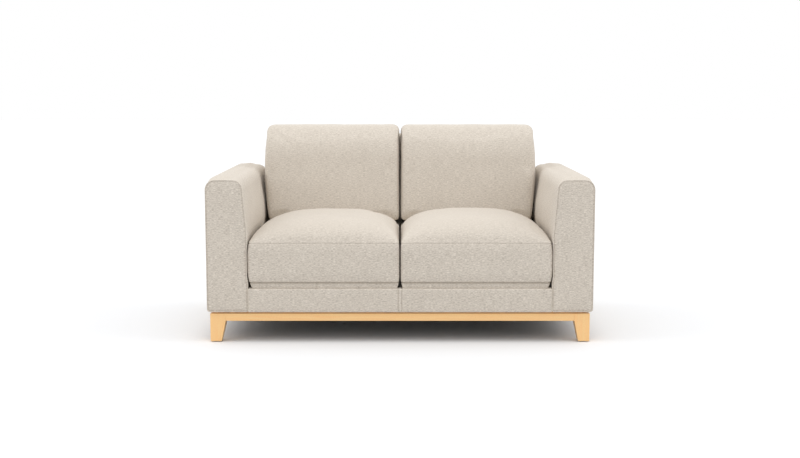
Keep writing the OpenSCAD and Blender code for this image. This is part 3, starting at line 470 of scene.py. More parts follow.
def woven(name, dark, light, slub, pitch, relief=0.3, sheen=0.12):
    """Woven cloth on a UV map in metres: slubs along the first direction, threads of one pitch"""
    cloth = {"Roughness": 0.92, "Specular IOR Level": 0.25, "Sheen Weight": sheen, "Sheen Roughness": 0.45}
    material, tree, shader = new_finish(name, cloth)
    lie = node(tree, "ShaderNodeUVMap", uv_map="weave")

    def streaks(scale, detail, share):
        stretched = node(tree, "ShaderNodeMapping", {"Scale": (*scale, 1)})
        spots = node(tree, "ShaderNodeTexNoise", {"Scale": 1, "Detail": detail}, noise_dimensions="2D")
        weighed = node(tree, "ShaderNodeMath", {1: share}, operation="MULTIPLY")
        link(tree, (lie, "UV", stretched, "Vector"), (stretched, "Vector", spots, "Vector"),
             (spots, "Fac", weighed, 0))
        return weighed.outputs[0]

    def total(first, second):
        added = node(tree, "ShaderNodeMath", operation="ADD")
        tree.links.new(first, added.inputs[0])
        tree.links.new(second, added.inputs[1])
        return added.outputs[0]

    tone = total(total(streaks(slub, 1, 0.4), streaks((slub[0] * 3.7, slub[1] * 2.3), 1, 0.29)),
                 total(streaks((slub[0] * 0.36, slub[1] * 0.9), 1, 0.26), streaks((9, 13), 2, 0.05)))
    # Where the pile is brushed flat, the tone is drawn to the middle
    brushed = node(tree, "ShaderNodeAttribute", attribute_name="brushed")
    evened = node(tree, "ShaderNodeMix", {3: 0.5})
    tones = two_tones(tree, dark, light)
    link(tree, (brushed, "Fac", evened, 0))
    tree.links.new(tone, evened.inputs[2])
    link(tree, (evened, 0, tones, "Fac"), (tones, "Color", shader, "Base Color"))

    axes = node(tree, "ShaderNodeSeparateXYZ")
    link(tree, (lie, "UV", axes, "Vector"))

    def threads(socket):
        turned = node(tree, "ShaderNodeMath", {1: math.pi / (pitch * MM)}, operation="MULTIPLY")
        wave = node(tree, "ShaderNodeMath", operation="SINE")
        crest = node(tree, "ShaderNodeMath", operation="ABSOLUTE")
        tree.links.new(socket, turned.inputs[0])
        link(tree, (turned, 0, wave, 0), (wave, 0, crest, 0))
        return crest.outputs[0]

    over_under = node(tree, "ShaderNodeTexChecker", {"Scale": 1 / (pitch * MM)})
    crossing = node(tree, "ShaderNodeMix")
    link(tree, (lie, "UV", over_under, "Vector"), (over_under, "Fac", crossing, 0))
    tree.links.new(threads(axes.outputs["X"]), crossing.inputs[2])
    tree.links.new(threads(axes.outputs["Y"]), crossing.inputs[3])
    bump = node(tree, "ShaderNodeBump", {"Strength": relief, "Distance": 0.0004})
    link(tree, (crossing, 0, bump, "Height"), (bump, "Normal", shader, "Normal"))
    return material


def skin(name, grids, caps=()):
    """One mesh from grids of points in millimetres, joined wherever their edges meet"""
    build = bmesh.new()
    for grid in grids:
        rows = [[build.verts.new((p[0] * MM, p[1] * MM, p[2] * MM)) for p in row] for row in grid]
        for lower, upper in zip(rows, rows[1:]):
            for a, b, c, d in zip(lower, lower[1:], upper[1:], upper):
                build.faces.new((a, b, c, d))
    for ring in caps:
        build.faces.new([build.verts.new((p[0] * MM, p[1] * MM, p[2] * MM)) for p in ring])
    bmesh.ops.remove_doubles(build, verts=build.verts, dist=0.00002)
    bmesh.ops.recalc_face_normals(build, faces=build.faces)
    for face in build.faces:
        face.smooth = True
    mesh = bpy.data.meshes.new(name)
    build.to_mesh(mesh)
    build.free()
    return add_object(name, mesh)


def lay_weave(obj, across_top=False, shift=0.0):
    """A UV map in metres, level along the piece; across_top turns it on faces that look up"""
    place, axis = face_axes(obj.data)
    flat = place[:, [1, 0]] if across_top else place[:, :2]
    uv = np.where((axis == 2)[:, None], flat, np.where((axis == 0)[:, None], place[:, 1:], place[:, [0, 2]]))
    obj.data.uv_layers.new(name="weave").data.foreach_set("uv", (uv + shift).astype(np.float32).ravel())


def uneven(x, y, size, seed):
    """A smooth wander between -1 and 1, of about that size in millimetres"""
    return np.vectorize(lambda a, b: noise.noise(Vector((a / size, b / size, seed))))(x, y)


def ramp(t):
    """A rise from 0 to 1 with level ends"""
    t = np.clip(t, 0, 1)
    return t * t * (3 - 2 * t)


deck_fabric = woven("deck_fabric", (0.3, 0.28, 0.245), (0.42, 0.395, 0.35), (60, 60), 1.0, 0.3, 0.1)
felt_pad = mottled("felt_pad", (0.42, 0.4, 0.36), (0.56, 0.54, 0.5), 220, 0.95, 0.3)
finish_nodes(felt_pad, "deck_pad")
deck_rear_y = inside_y(DECK_Z - DECK_T) - 0.1
deck_x, deck_y = np.meshgrid(np.linspace(-ARM_IN + 0.3, ARM_IN - 0.3, 127),
                             np.linspace(FLANGE_Y + 0.6, deck_rear_y - 0.2, 67))
loose = ramp((ARM_IN - np.abs(deck_x)) / SIDE_HEM)
loose *= ramp((deck_y - FLANGE_Y) / HEM) * ramp((deck_rear_y - deck_y) / HEM)
# The cloth sinks a little between the springs
sink = 0.9 * (0.5 + 0.5 * np.cos(2 * np.pi * (deck_x - spring_step / 2) / spring_step))
sink += 0.6 * uneven(deck_x, deck_y, 90, 3.1)
top = np.stack([deck_x, deck_y, DECK_Z - 0.2 - 1.5 * (1 - loose) - np.clip(sink, 0, 2) * loose], axis=-1)
under = np.stack([deck_x, deck_y, np.full_like(deck_x, DECK_Z - DECK_T + 0.1)], axis=-1)


def walls(upper, lower):
    """The four strips that join the edges of two grids"""
    return [np.stack([upper[0], lower[0]]), np.stack([upper[-1], lower[-1]]),
            np.stack([upper[:, 0], lower[:, 0]]), np.stack([upper[:, -1], lower[:, -1]])]


deck = skin("deck_cloth_sewn", [top, under] + walls(top, under))
lay_weave(deck)
deck.data.materials.append(deck_fabric)
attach(deck, "settee_frame")
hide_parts("deck_cloth")

# Arms
# A softwood frame with hardboard sides under foam. The cover is a sleeve that runs front to back
# over a slight crown and rolls in to the seam round the padded front facing and the rear panel.
HALF_W, ARM_Z, BULGE_Z, BULGE_R, LEAN, CORNER_R, FOOT_R, INNER_FOOT_R = 800, 675, 435, 60, 4.6, 40, 12, 5
FRONT_Y, ARM_FRONT, ARM_REAR, SLEEVE_IN, ARM_EDGE_R, SEAM, FOOT_GAP = -460, -448, 454, 2.5, 3, 0.7, 0.2
# The padding's swell: over the top, along the outer edge, and inside above the seat
ARM_CROWN, TOP_FULL, EDGE_FULL, SEAT_FULL, SEAT_FULL_Z = 5.5, 6.5, 5, 11.5, 510
# The seat cushion presses a shallow hollow into the arm, between these heights
HOLLOW, HOLLOW_FOOT, HOLLOW_TOP = 3.3, 243, 432
FACING_FRONT, FACING_BACK, REAR_FRONT, REAR_SEAM, REAR_FLAT = 454.4, 449.5, 450, 455, 459.8
# How far the padding of a facing stands out, by the distance from its seam
FACING_RUN = (0, 0.8, 2.2, 4.5, 8, 16, 45, 80)
FACING_RISE = (-2.2, -0.1, 1.5, 2.8, 3.8, 4.5, 5.1, 5.3)
FOAM_TOP = 669
hardboard = mottled("hardboard", (0.2, 0.125, 0.07), (0.3, 0.195, 0.115), 500, 0.75, 0.2)
pale_foam = mottled("pale_foam", (0.76, 0.72, 0.56), (0.86, 0.83, 0.68), 700, 0.95, 0.5)
finish_nodes(hardboard, "arm_boards_left", "arm_boards_right")
finish_nodes(pale_foam, "back_padding", "front_rail_padding", "seat_cushion_core_left",
             "seat_cushion_core_right", "back_cushion_core_left", "back_cushion_core_right")
settee_weave = woven("settee_weave", (0.395, 0.348, 0.293), (0.86, 0.79, 0.7), (110, 440), 1.5)


def brush_pile(obj, upright, upward):
    """How far the pile is brushed flat, on faces that stand and on faces that look up"""
    rise = np.array([v.normal.z for v in obj.data.vertices])
    share = upright + (upward - upright) * ramp(rise)
    obj.data.attributes.new("brushed", "FLOAT", "POINT").data.foreach_set("value", share.astype(np.float32))


def merged_copy(name, cad):
    """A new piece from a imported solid, with its loose triangles joined"""
    mesh = bpy.data.meshes.new(name)
    build = bmesh.new()
    build.from_mesh(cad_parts[cad].data)
    bmesh.ops.remove_doubles(build, verts=build.verts, dist=1e-6)
    build.to_mesh(mesh)
    build.free()
    return add_object(name, mesh)


def bend(cx, cy, r, start, end, steps=10):
    """Points round part of a circle"""
    a = np.radians(np.linspace(start, end, steps + 1))
    return np.stack([cx + r * np.cos(a), cy + r * np.sin(a)], axis=1)


def evenly(points, count):
    """A line of points set out again at equal distances"""
    points = np.asarray(points, float)
    run = np.concatenate([[0], np.cumsum(np.linalg.norm(np.diff(points, axis=0), axis=1))])
    want = np.linspace(0, run[-1], count)
    return np.stack([np.interp(want, run, points[:, k]) for k in range(points.shape[1])], axis=1)


def outward(outline):
    """Unit directions out of a closed outline that runs anticlockwise"""
    ahead = np.roll(outline, -1, axis=0) - np.roll(outline, 1, axis=0)
    side = np.stack([ahead[:, 1], -ahead[:, 0]], axis=1)
    return side / np.linalg.norm(side, axis=1)[:, None]


def coons(low, high, left, right):
    """A grid that fills the space between four lines of points"""
    u = np.linspace(0, 1, len(low))[None, :, None]
    v = np.linspace(0, 1, len(left))[:, None, None]
    return ((1 - v) * low[None] + v * high[None] + (1 - u) * left[:, None] + u * right[:, None]
            - (1 - u) * (1 - v) * low[0] - u * (1 - v) * low[-1] - (1 - u) * v * high[0] - u * v * high[-1])


def edge_distance(grid, ring):
    """How far each point of a flat grid lies from a closed outline"""
    best = np.full(grid.shape[:2], np.inf)
    for p, q in zip(ring, np.roll(ring, -1, axis=0)):
        length = max(np.dot(q - p, q - p), 1e-12)
        t = np.clip(((grid - p) @ (q - p)) / length, 0, 1)
        best = np.minimum(best, np.linalg.norm(grid - p - t[..., None] * (q - p), axis=-1))
    return best


def tight_edges(count, power=1.6):
    """Shares from 0 to 1 that crowd towards both ends"""
    t = np.linspace(-1, 1, count)
    return 0.5 + 0.5 * np.sign(t) * (1 - (1 - np.abs(t)) ** power)


def spread(points, shares):
    """A line of points set out again at the given shares of its length"""
    run = np.concatenate([[0], np.cumsum(np.linalg.norm(np.diff(points, axis=0), axis=1))])
    return np.stack([np.interp(shares * run[-1], run, points[:, k]) for k in range(2)], axis=1)


corner_z = ARM_Z - CORNER_R
lean_sin, lean_cos = math.sin(math.radians(LEAN)), math.cos(math.radians(LEAN))
lean_run = (corner_z + CORNER_R * lean_sin - BULGE_Z) / lean_cos
corner_in = ARM_IN + CORNER_R * lean_cos + lean_run * lean_sin
corner_out = HALF_W - CORNER_R
arm_line = np.concatenate([
    bend(ARM_IN + INNER_FOOT_R, BODY_FOOT + INNER_FOOT_R + FOOT_GAP, INNER_FOOT_R, 180, 270, 4),
    bend(HALF_W - FOOT_R, BODY_FOOT + FOOT_R + FOOT_GAP, FOOT_R, 270, 360),
    bend(corner_out, corner_z, CORNER_R, 0, 90),
    bend(corner_in, corner_z, CORNER_R, 90, 180 - LEAN),
    bend(ARM_IN + BULGE_R, BULGE_Z, BULGE_R, 180 - LEAN, 180, 4),
])
arm_outline = evenly(np.concatenate([arm_line, arm_line[:1]]), 181)[:-1]
arm_x, arm_z = arm_outline.T
hollow = ramp((arm_z - HOLLOW_FOOT) / 40) * ramp((HOLLOW_TOP - arm_z) / 60)
arm_outline[:, 0] += HOLLOW * (arm_x < ARM_IN + 4) * hollow
arm_roll = outward(arm_outline)
over_top = np.clip((arm_x - corner_in) / (corner_out - corner_in), 0, 1)
arm_crown = np.where(arm_z > corner_z, ARM_CROWN * (0.5 - 0.5 * np.cos(2 * np.pi * over_top)), 0)
to_outer = ramp((arm_x - corner_in) / (corner_out + CORNER_R / 2 - corner_in))
arm_crown += ramp(arm_roll[:, 1] / 0.8) * (TOP_FULL + EDGE_FULL * to_outer)


def rolled_edge(r):
    """How far in and how far on the cloth runs as it rolls over an edge and dives into the seam"""
    quarter = [(r * (1 - math.cos(a)), r * math.sin(a)) for a in np.radians(np.linspace(0, 90, 6))]
    return quarter + [(r + 1.2, r - 1.1), (r + 2, r - 4)]


def panel(outline, inset, run, rise, corners, across=37, up=61):
    """A padded panel inside an outline: a flat grid, how far it stands out, and its depth from the edge"""
    ring = outline - inset * outward(outline)
    sides = []
    for first, last in zip(corners, corners[1:] + corners[:1]):
        along = np.arange(first, last + 1 if last > first else last + len(ring) + 1)
        sides.append(ring[along % len(ring)])
    low, right, high, left = sides
    wide, tall = tight_edges(across), tight_edges(up)
    flat = coons(spread(low, wide), spread(high[::-1], wide), spread(left[::-1], tall), spread(right, tall))
    depth = edge_distance(flat, ring)
    return flat, np.interp(depth, run, rise), depth


def nearest(outline, x, y):
    """Which point of an outline lies nearest to a place"""
    return int(np.argmin(np.hypot(outline[:, 0] - x, outline[:, 1] - y)))


DIAGONAL = math.sqrt(0.5)
foot_in, foot_out, top_out = INNER_FOOT_R * (1 - DIAGONAL), FOOT_R * (1 - DIAGONAL), CORNER_R * DIAGONAL
arm_corners = [nearest(arm_outline, ARM_IN + foot_in, BODY_FOOT + foot_in),
               nearest(arm_outline, HALF_W - foot_out, BODY_FOOT + foot_out),
               nearest(arm_outline, corner_out + top_out, corner_z + top_out),
               nearest(arm_outline, corner_in - top_out, corner_z + top_out)]
long_run = ARM_FRONT + 1 + tight_edges(74, 1.5) * (ARM_REAR - ARM_FRONT - 7)


def closed(rows):
    """The rows of a sleeve, each joined up to its own start"""
    return [np.concatenate([row, row[:1]]) for row in rows]


def arm_risen(y):
    """How much of its crown the arm has at each place from front to back"""
    return (0.12 + 0.88 * ramp((y - ARM_FRONT) / 60)) * (0.45 + 0.55 * ramp((ARM_REAR - 2 - y) / 22))


for side, sx in (("left", -1), ("right", 1)):
    seed = 5.3 if sx < 0 else 9.7
    rolls = rolled_edge(ARM_EDGE_R)
    stations = ([(FRONT_Y + SLEEVE_IN + ARM_EDGE_R - d, s) for s, d in rolls[::-1]]
                + [(y, 0.0) for y in long_run] + [(ARM_REAR - SLEEVE_IN + d, s) for s, d in rolls])
    rows = []
    for y, inset in stations:
        ring = arm_outline - inset * arm_roll
        risen = arm_risen(y)
        if inset == 0:
            swell = 0.6 * uneven(arm_x + arm_z, np.full(len(ring), y), 190, seed)
            ring = ring + arm_roll * (swell * min(1, risen + 0.2))[:, None]
            # Above the seat the padding of the inner side stands out a little, most of all at the back
            over_seat = np.exp(-((ring[:, 1] - SEAT_FULL_Z) / 95) ** 2) * ramp((ring[:, 1] - 415) / 50)
            over_seat = over_seat * (ring[:, 0] < ARM_IN + 25)
            ring[:, 0] -= SEAT_FULL * over_seat * ramp((y - ARM_FRONT) / 420) * ramp((ARM_REAR - y) / 60)
        ring_z = ring[:, 1] + arm_crown * risen
        rows.append(np.stack([sx * ring[:, 0], np.full(len(ring), y), ring_z], axis=1))
    sleeve = skin("arm_sleeve_%s" % side, [closed(rows)], caps=[rows[0], rows[-1]])
    flat, out_by, depth = panel(arm_outline, ARM_EDGE_R + SEAM, FACING_RUN, FACING_RISE, arm_corners)
    # Over the top the seam is pulled less deep
    out_by = out_by + 3.4 * ramp((flat[..., 1] - 650) / 18) * ramp(1 - depth / 5)
    ripple = 0.35 * uneven(flat[..., 0], flat[..., 1], 70, seed + 4) * ramp(depth / 12)

    def upright(y):
        """The flat grid of the panel, stood up at a depth"""
        return np.stack([sx * flat[..., 0], np.broadcast_to(y, out_by.shape), flat[..., 1]], axis=-1)

    front, front_in = upright(-(FACING_FRONT + out_by + ripple)), upright(-FACING_BACK)
    facing = skin("arm_front_facing_%s" % side, [front, front_in] + walls(front, front_in))
    rear, rear_in = upright(np.minimum(REAR_SEAM + out_by, REAR_FLAT)), upright(REAR_FRONT)
    rear_panel = skin("arm_rear_cloth_%s" % side, [rear, rear_in] + walls(rear, rear_in))
    foam = merged_copy("arm_foam_%s" % side, "arm_padding_%s" % side)
    # The foam's crown is pressed down, most of all in front, and stays under the sleeve
    for v in foam.data.vertices:
        if v.co.z > FOAM_TOP * MM:
            v.co.z = FOAM_TOP * MM + (v.co.z - FOAM_TOP * MM) * (0.1 if v.co.y < 0 else 0.5)
    foam.data.update()
    foam.data.materials.append(pale_foam)
    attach(foam, "settee_frame")
    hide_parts("arm_padding_%s" % side)
    brush_pile(sleeve, 0.2, 0.5)
    for piece, cad in ((sleeve, "arm_cover"), (facing, "arm_facing"), (rear_panel, "arm_rear_panel")):
        lay_weave(piece, across_top=True, shift=0.31 * sx)
        piece.data.materials.append(settee_weave)
        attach(piece, "settee_frame")
        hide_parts("%s_%s" % (cad, side))

# Back
# Posts and rails carry elastic webbing, foam and wadding. The inside cover runs up the leaning
# front, over a rounded top edge, and is seamed to side gussets and to the flat outside panel.
BACK_X, BACK_EDGE_R, BACK_FOOT, BACK_FOOT_R, BACK_REAR_R, COVER_T = 628, 24, 212.2, 4, 3, 4
GUSSET_R, GUSSET_IN = 6, 1.7
GUSSET_RUN = (0, 0.8, 2.2, 4.5, 8, 16, 45)
GUSSET_RISE = (-5.2, -3.4, -1.6, -0.6, 0.1, 0.5, 0.7)
PUFF_RUN, PUFF_RISE = (0, 1, 2.5, 5, 12), (0, 1.2, 2.2, 2.9, 3.2)
webbing = woven("elastic_webbing", (0.035, 0.035, 0.037), (0.075, 0.075, 0.08), (40, 400), 2.2, 0.5, 0.05)
straps = merged_copy("webbing_straps", "back_webbing")
lay_weave(straps)
straps.data.materials.append(webbing)
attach(straps, "settee_frame")
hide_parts("back_webbing")

edge_y, cover_rear = inside_y(BACK_Z - BACK_EDGE_R) + BACK_EDGE_R, REAR_Y - COVER_T
back_line = np.concatenate([
    bend(cover_rear - BACK_FOOT_R, BACK_FOOT + BACK_FOOT_R, BACK_FOOT_R, -90, 0, 3),
    bend(cover_rear - BACK_REAR_R, BACK_Z - BACK_REAR_R, BACK_REAR_R, 0, 90, 3),
    bend(edge_y, BACK_Z - BACK_EDGE_R, BACK_EDGE_R, 90, 180 - BACK_LEAN, 8),
    bend(inside_y(BACK_FOOT) + BACK_FOOT_R, BACK_FOOT + BACK_FOOT_R, BACK_FOOT_R, 180 - BACK_LEAN, 270, 4),
])
back_outline = evenly(np.concatenate([back_line, back_line[:1]]), 121)[:-1]
back_roll = outward(back_outline)
back_corners = [nearest(back_outline, inside_y(BACK_FOOT), BACK_FOOT),
                nearest(back_outline, cover_rear, BACK_FOOT),
                nearest(back_outline, cover_rear, BACK_Z),
                nearest(back_outline, edge_y - BACK_EDGE_R * DIAGONAL, BACK_Z - BACK_EDGE_R * (1 - DIAGONAL))]
rolls, side_run = rolled_edge(GUSSET_R), BACK_X - GUSSET_R - 8
stations = ([(-BACK_X + GUSSET_R - d, s) for s, d in rolls[::-1]]
            + [(x, 0.0) for x in np.linspace(-side_run, side_run, 96)]
            + [(BACK_X - GUSSET_R + d, s) for s, d in rolls])
rows = []
for x, inset in stations:
    ring = back_outline - inset * back_roll
    if inset == 0:
        faces_front = np.clip(-back_roll[:, 0], 0, 1)
        swell = 0.8 * uneven(back_outline[:, 1], np.full(len(ring), x), 160, 2.2) * faces_front
        ring = ring + back_roll * swell[:, None]
    rows.append(np.stack([np.full(len(ring), x), ring[:, 0], ring[:, 1]], axis=1))
grids = [closed(rows)]
flat, out_by, _ = panel(back_outline, GUSSET_R + GUSSET_IN, GUSSET_RUN, GUSSET_RISE, back_corners, 25, 73)
for sx in (-1, 1):
    gusset = np.stack([sx * (BACK_X - 1 + out_by), flat[..., 0], flat[..., 1]], axis=-1)
    gusset_in = np.stack([np.full_like(out_by, sx * (BACK_X - 7)), flat[..., 0], flat[..., 1]], axis=-1)
    grids += [gusset, gusset_in] + walls(gusset, gusset_in)
inside_back = skin("inside_back_cloth", grids, caps=[rows[0], rows[-1]])

panel_x, panel_foot, panel_top = BACK_X - 1, BODY_FOOT + 0.4, BACK_Z - 1
px, pz = np.meshgrid((tight_edges(91) * 2 - 1) * panel_x,
                     panel_foot + tight_edges(61) * (panel_top - panel_foot))
near = np.minimum(panel_x - np.abs(px), np.minimum(pz - panel_foot, panel_top - pz))
puff = np.interp(near, PUFF_RUN, PUFF_RISE) + 0.35 * uneven(px, pz, 140, 7.4) * ramp(near / 30)
outer = np.stack([px, cover_rear + 0.3 + puff, pz], axis=-1)
inner = np.stack([px, np.full_like(px, cover_rear + 0.15), pz], axis=-1)
outside_back = skin("outside_back_cloth", [outer, inner] + walls(outer, inner))
for piece, cad in ((inside_back, "inside_back_cover"), (outside_back, "outside_back_cover")):
    lay_weave(piece)
    piece.data.materials.append(settee_weave)
    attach(piece, "settee_frame")
    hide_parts(cad)

# Front rail
# Foam over the front seat rail under two lengths of the settee cloth, seamed to a narrow strip in
# the middle. The cover turns under at the plinth and runs back over the rail to meet the deck.
NOSE_R, UNDER_R, UNDER_GAP, RAIL_EDGE, STRIP_W, CLOTH_T = 4, 3.4, 0.3, 3.2, 14.6, 2.4
rail_foot, nose_z = BODY_FOOT + UNDER_GAP, DECK_Z - 2.6
outer_line = np.concatenate([[(FRONT_Y + 16, rail_foot)],
                             bend(FRONT_Y + UNDER_R, rail_foot + UNDER_R, UNDER_R, 270, 180, 4),
                             np.stack([np.full(6, FRONT_Y), np.linspace(145, 205, 6)], axis=1),
                             bend(FRONT_Y + NOSE_R, nose_z - NOSE_R, NOSE_R, 180, 96, 7),
                             [(FRONT_Y + 15, DECK_Z - 1.8), (FRONT_Y + 24, DECK_Z - 0.3),
                              (FRONT_Y + 35, DECK_Z), (FLANGE_Y, DECK_Z)]])
ahead = np.gradient(outer_line, axis=0)
rail_roll = np.stack([-ahead[:, 1], ahead[:, 0]], axis=1)
rail_roll /= np.linalg.norm(rail_roll, axis=1)[:, None]
thin_line = np.concatenate([outer_line, (outer_line - CLOTH_T * rail_roll)[::-1]])
thin_roll = np.concatenate([rail_roll, rail_roll[::-1]])
quarter = np.radians(np.linspace(0, 90, 5))
rail_ends = [(RAIL_EDGE * (1 - math.cos(a)), RAIL_EDGE * (1 - math.sin(a))) for a in quarter]
half_strip = STRIP_W / 2
for name, cad, x0, x1 in (("rail_cloth_left", "front_rail_cover_left", SEAM - ARM_IN, -half_strip - SEAM),
                          ("rail_cloth_strip", "front_rail_strip", -half_strip, half_strip),
                          ("rail_cloth_right", "front_rail_cover_right", half_strip + SEAM, ARM_IN - SEAM)):
    narrow = name == "rail_cloth_strip"
    middle = [0] if narrow else np.linspace(x0 + 8, x1 - 8, int((x1 - x0) / 14))
    stations = ([(x0 + g, s) for s, g in rail_ends[::-1]] + [(x, 0.0) for x in middle]
                + [(x1 - g, s) for s, g in rail_ends])
    rows = []
    for x, inset in stations:
        stand_out = np.full(len(thin_line), -inset)
        if inset == 0:
            swell = 0.5 * uneven(thin_line[:, 1], np.full(len(thin_line), x), 80, 4.4)
            stand_out = swell - (0.5 if narrow else 0)
        ring = thin_line + thin_roll * stand_out[:, None]
        rows.append(np.stack([np.full(len(ring), x), ring[:, 0], ring[:, 1]], axis=1))
    rail_cloth = skin(name, [closed(rows)], caps=[rows[0], rows[-1]])
    lay_weave(rail_cloth)
    rail_cloth.data.materials.append(settee_weave)
    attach(rail_cloth, "settee_frame")
    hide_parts(cad)

# Seat cushions
# Foam wrapped in fibre, in boxed covers: a crowned top panel, a tall boxing between two plain
# seams, and a short band under it that rolls in to the deck. The rear boxing holds the zip.
SEAT_W, SEAT_D, SEAT_X, SEAT_Y, SEAT_REAR, SEAT_FOOT = 623.5, 712.25, 314.25, -99.87, 256.25, 227.4
SEAT_SEAM, SEAT_CROWN, SEAT_PRESSED, SEAT_CORNERS = 413.5, 95, 26, [14, 14, 26, 26]
ZIP_HALF, PLACKET_D, PLACKET_HALF, SEAT_ZIP_Z = 240, 7, 11, 334
TUCK_X, TUCK_HALF, TUCK_IN = 30.75, 3.2, 3.4
# Where the sides by the middle of the settee and by the arm begin to be fitted to their neighbours
MIDDLE_SIDE, ARM_SIDE, FOOT_IN, FOOT_SIDE_IN = 260, 255, 24, 20
# The back cushion's foot, thickness and roll, and how far before it the seat is pressed down
CUSHION_FOOT, CUSHION_T, PRESS_LEAD = 440.3, 178, 26
pressed_from = inside_y(CUSHION_FOOT) - CUSHION_T - PRESS_LEAD - SEAT_Y
pressed_run = CUSHION_T * 0.58


def rounded_sides(a, b, r, across, along):
    """Four sides of a rounded rectangle, each from the middle of one corner to the middle of the next"""
    ll, lr, hl, hr = np.broadcast_to(r, 4)
    low = np.concatenate([bend(ll - a, ll - b, ll, 225, 270, 6), bend(a - lr, lr - b, lr, 270, 315, 6)])
    high = np.concatenate([bend(hl - a, b - hl, hl, 135, 90, 6), bend(a - hr, b - hr, hr, 90, 45, 6)])
    left = np.concatenate([bend(ll - a, ll - b, ll, 225, 180, 6), bend(hl - a, b - hl, hl, 180, 135, 6)])
    right = np.concatenate([bend(a - lr, lr - b, lr, 315, 360, 6), bend(a - hr, b - hr, hr, 0, 45, 6)])
    return [spread(low, across), spread(high, across), spread(left, along), spread(right, along)]


def joined(sides):
    """The four sides as one closed line"""
    low, high, left, right = sides
    return np.concatenate([low, right[1:], high[::-1][1:], left[::-1][1:]])


def seat_rise(x, y, crown, slope):
    """The crown: steep over the front and the sides, flat on top, pressed down under the back cushion"""
    run = np.minimum(1, (y / SEAT_D + 0.5) / 0.46)
    free = crown * (1 - (1 - run) ** 5) ** 0.52
    pressed = ramp((y - pressed_from + pressed_run) / pressed_run)
    at = np.abs(x) / (SEAT_W / 2)
    across = np.where(x > 0, np.maximum(0, 1 - at ** 2.3) ** 0.47, np.maximum(0, 1 - at ** slope) ** 0.38)
    rise = free * (1 - pressed) + np.minimum(free, SEAT_PRESSED) * pressed
    return across * rise * ramp((SEAT_D / 2 - y) / 26)


def side_share(x, start):
    """None of a change up to a place near one side of a cushion, and all of it 50 mm further out"""
    return np.clip(x - start, 0, 50) / 50


def filled(piece, held, cap, lowest, highest, pressure=4.0, give=(1, 1, 1)):
    """Blows a closed cover up a little, as its filling does, with its seams held and its room kept"""
    piece.vertex_groups.new(name="held").add([int(i) for i in held], 1.0, "REPLACE")
    cloth = piece.modifiers.new("filling", "CLOTH")
    cloth.settings.quality = 4
    cloth.settings.mass = 0.3
    cloth.settings.tension_stiffness = 18
    cloth.settings.compression_stiffness = 18
    cloth.settings.shear_stiffness = 6
    cloth.settings.bending_stiffness = 1.5
    cloth.settings.use_pressure = True
    cloth.settings.uniform_pressure_force = pressure
    cloth.settings.vertex_group_mass = "held"
    cloth.settings.effector_weights.gravity = 0
    cloth.collision_settings.use_collision = False
    rest = np.array([v.co for v in piece.data.vertices])
    for step in range(1, 21):
        scene.frame_set(step)
    blown = piece.evaluated_get(bpy.context.evaluated_depsgraph_get()).data
    move = (np.array([v.co for v in blown.vertices]) - rest) * give
    scene.frame_set(1)
    piece.modifiers.clear()
    piece.vertex_groups.clear()
    far = np.linalg.norm(move, axis=1)
    move *= np.minimum(1, np.asarray(cap) * MM / np.maximum(far, 1e-9))[:, None]
    floor, ceiling = np.minimum(np.array(lowest) * MM, rest), np.maximum(np.array(highest) * MM, rest)
    placed = np.clip(rest + move, floor, ceiling)
    piece.data.vertices.foreach_set("co", placed.astype(np.float32).ravel())
    piece.data.update()
    soft = piece.modifiers.new("soft", "SUBSURF")
    soft.levels = soft.render_levels = 1
    settled(piece)
    for face in piece.data.polygons:
        face.use_smooth = True


# The points round a cushion, as shares of a side; they crowd near the corners and at the tuck
SIDE_RUN, FRONT_RUN = 700, 613
edge_run = np.array([0, 2.2, 5, 8.6, 13, 18.5, 25, 33, 43, 54]) / SIDE_RUN
middle_run = np.linspace(edge_run[-1], 1 - edge_run[-1], 46)
seat_across = np.concatenate([edge_run[:-1], middle_run, 1 - edge_run[-2::-1]])
tuck_points = np.array([TUCK_X - TUCK_HALF, TUCK_X, TUCK_X + TUCK_HALF]) + [-0.05, 0, 0.05]
seat_across = np.sort(np.concatenate([seat_across, 0.5 + tuck_points / FRONT_RUN]))
seat_along = np.concatenate([edge_run[:-1], np.linspace(edge_run[-1], 1, 52)])
# Each row of the walls: how far in it lies at the front and at the sides, and its height
foot_rows = [(FOOT_IN, FOOT_SIDE_IN, SEAT_FOOT), (12.6, 9.6, 227.5), (11.2, 8.2, 228.2), (10.9, 7, 230.2),
             (10.8, 5.6, 233), (10.7, 4, 238), (10.8, 3, 243), (12, 2.4, 246.4), (15, 2.6, 248.8),
             (16.5, 2.8, 250.4), (14, 2.4, 251.4), (6, 1.4, 251.9), (2.4, 1, 253), (0.7, 0.8, 256),
             (0.1, 0.4, 261)]
boxing_heights = (272, 284, 296, 306, 315, 321.5, 323.5, 329, 334, 339, 344.5, 346.5, 353, 362, 374, 386, 398)
boxing_bulge = [-1.6 * math.sin(math.pi * (z - 261) / 147) for z in boxing_heights]
boxing_rows = [(bulge, bulge, z) for bulge, z in zip(boxing_bulge, boxing_heights)]
seam_rows = [(-0.1, 0.2, 404.5), (0.3, 0.8, 409.2), (1.7, 2.0, 411.8), (2.8, 3.2, 413.1), (2.9, 3.0, 414.1),
             (1.8, 1.9, 415.7), (0.9, 1.1, 418)]
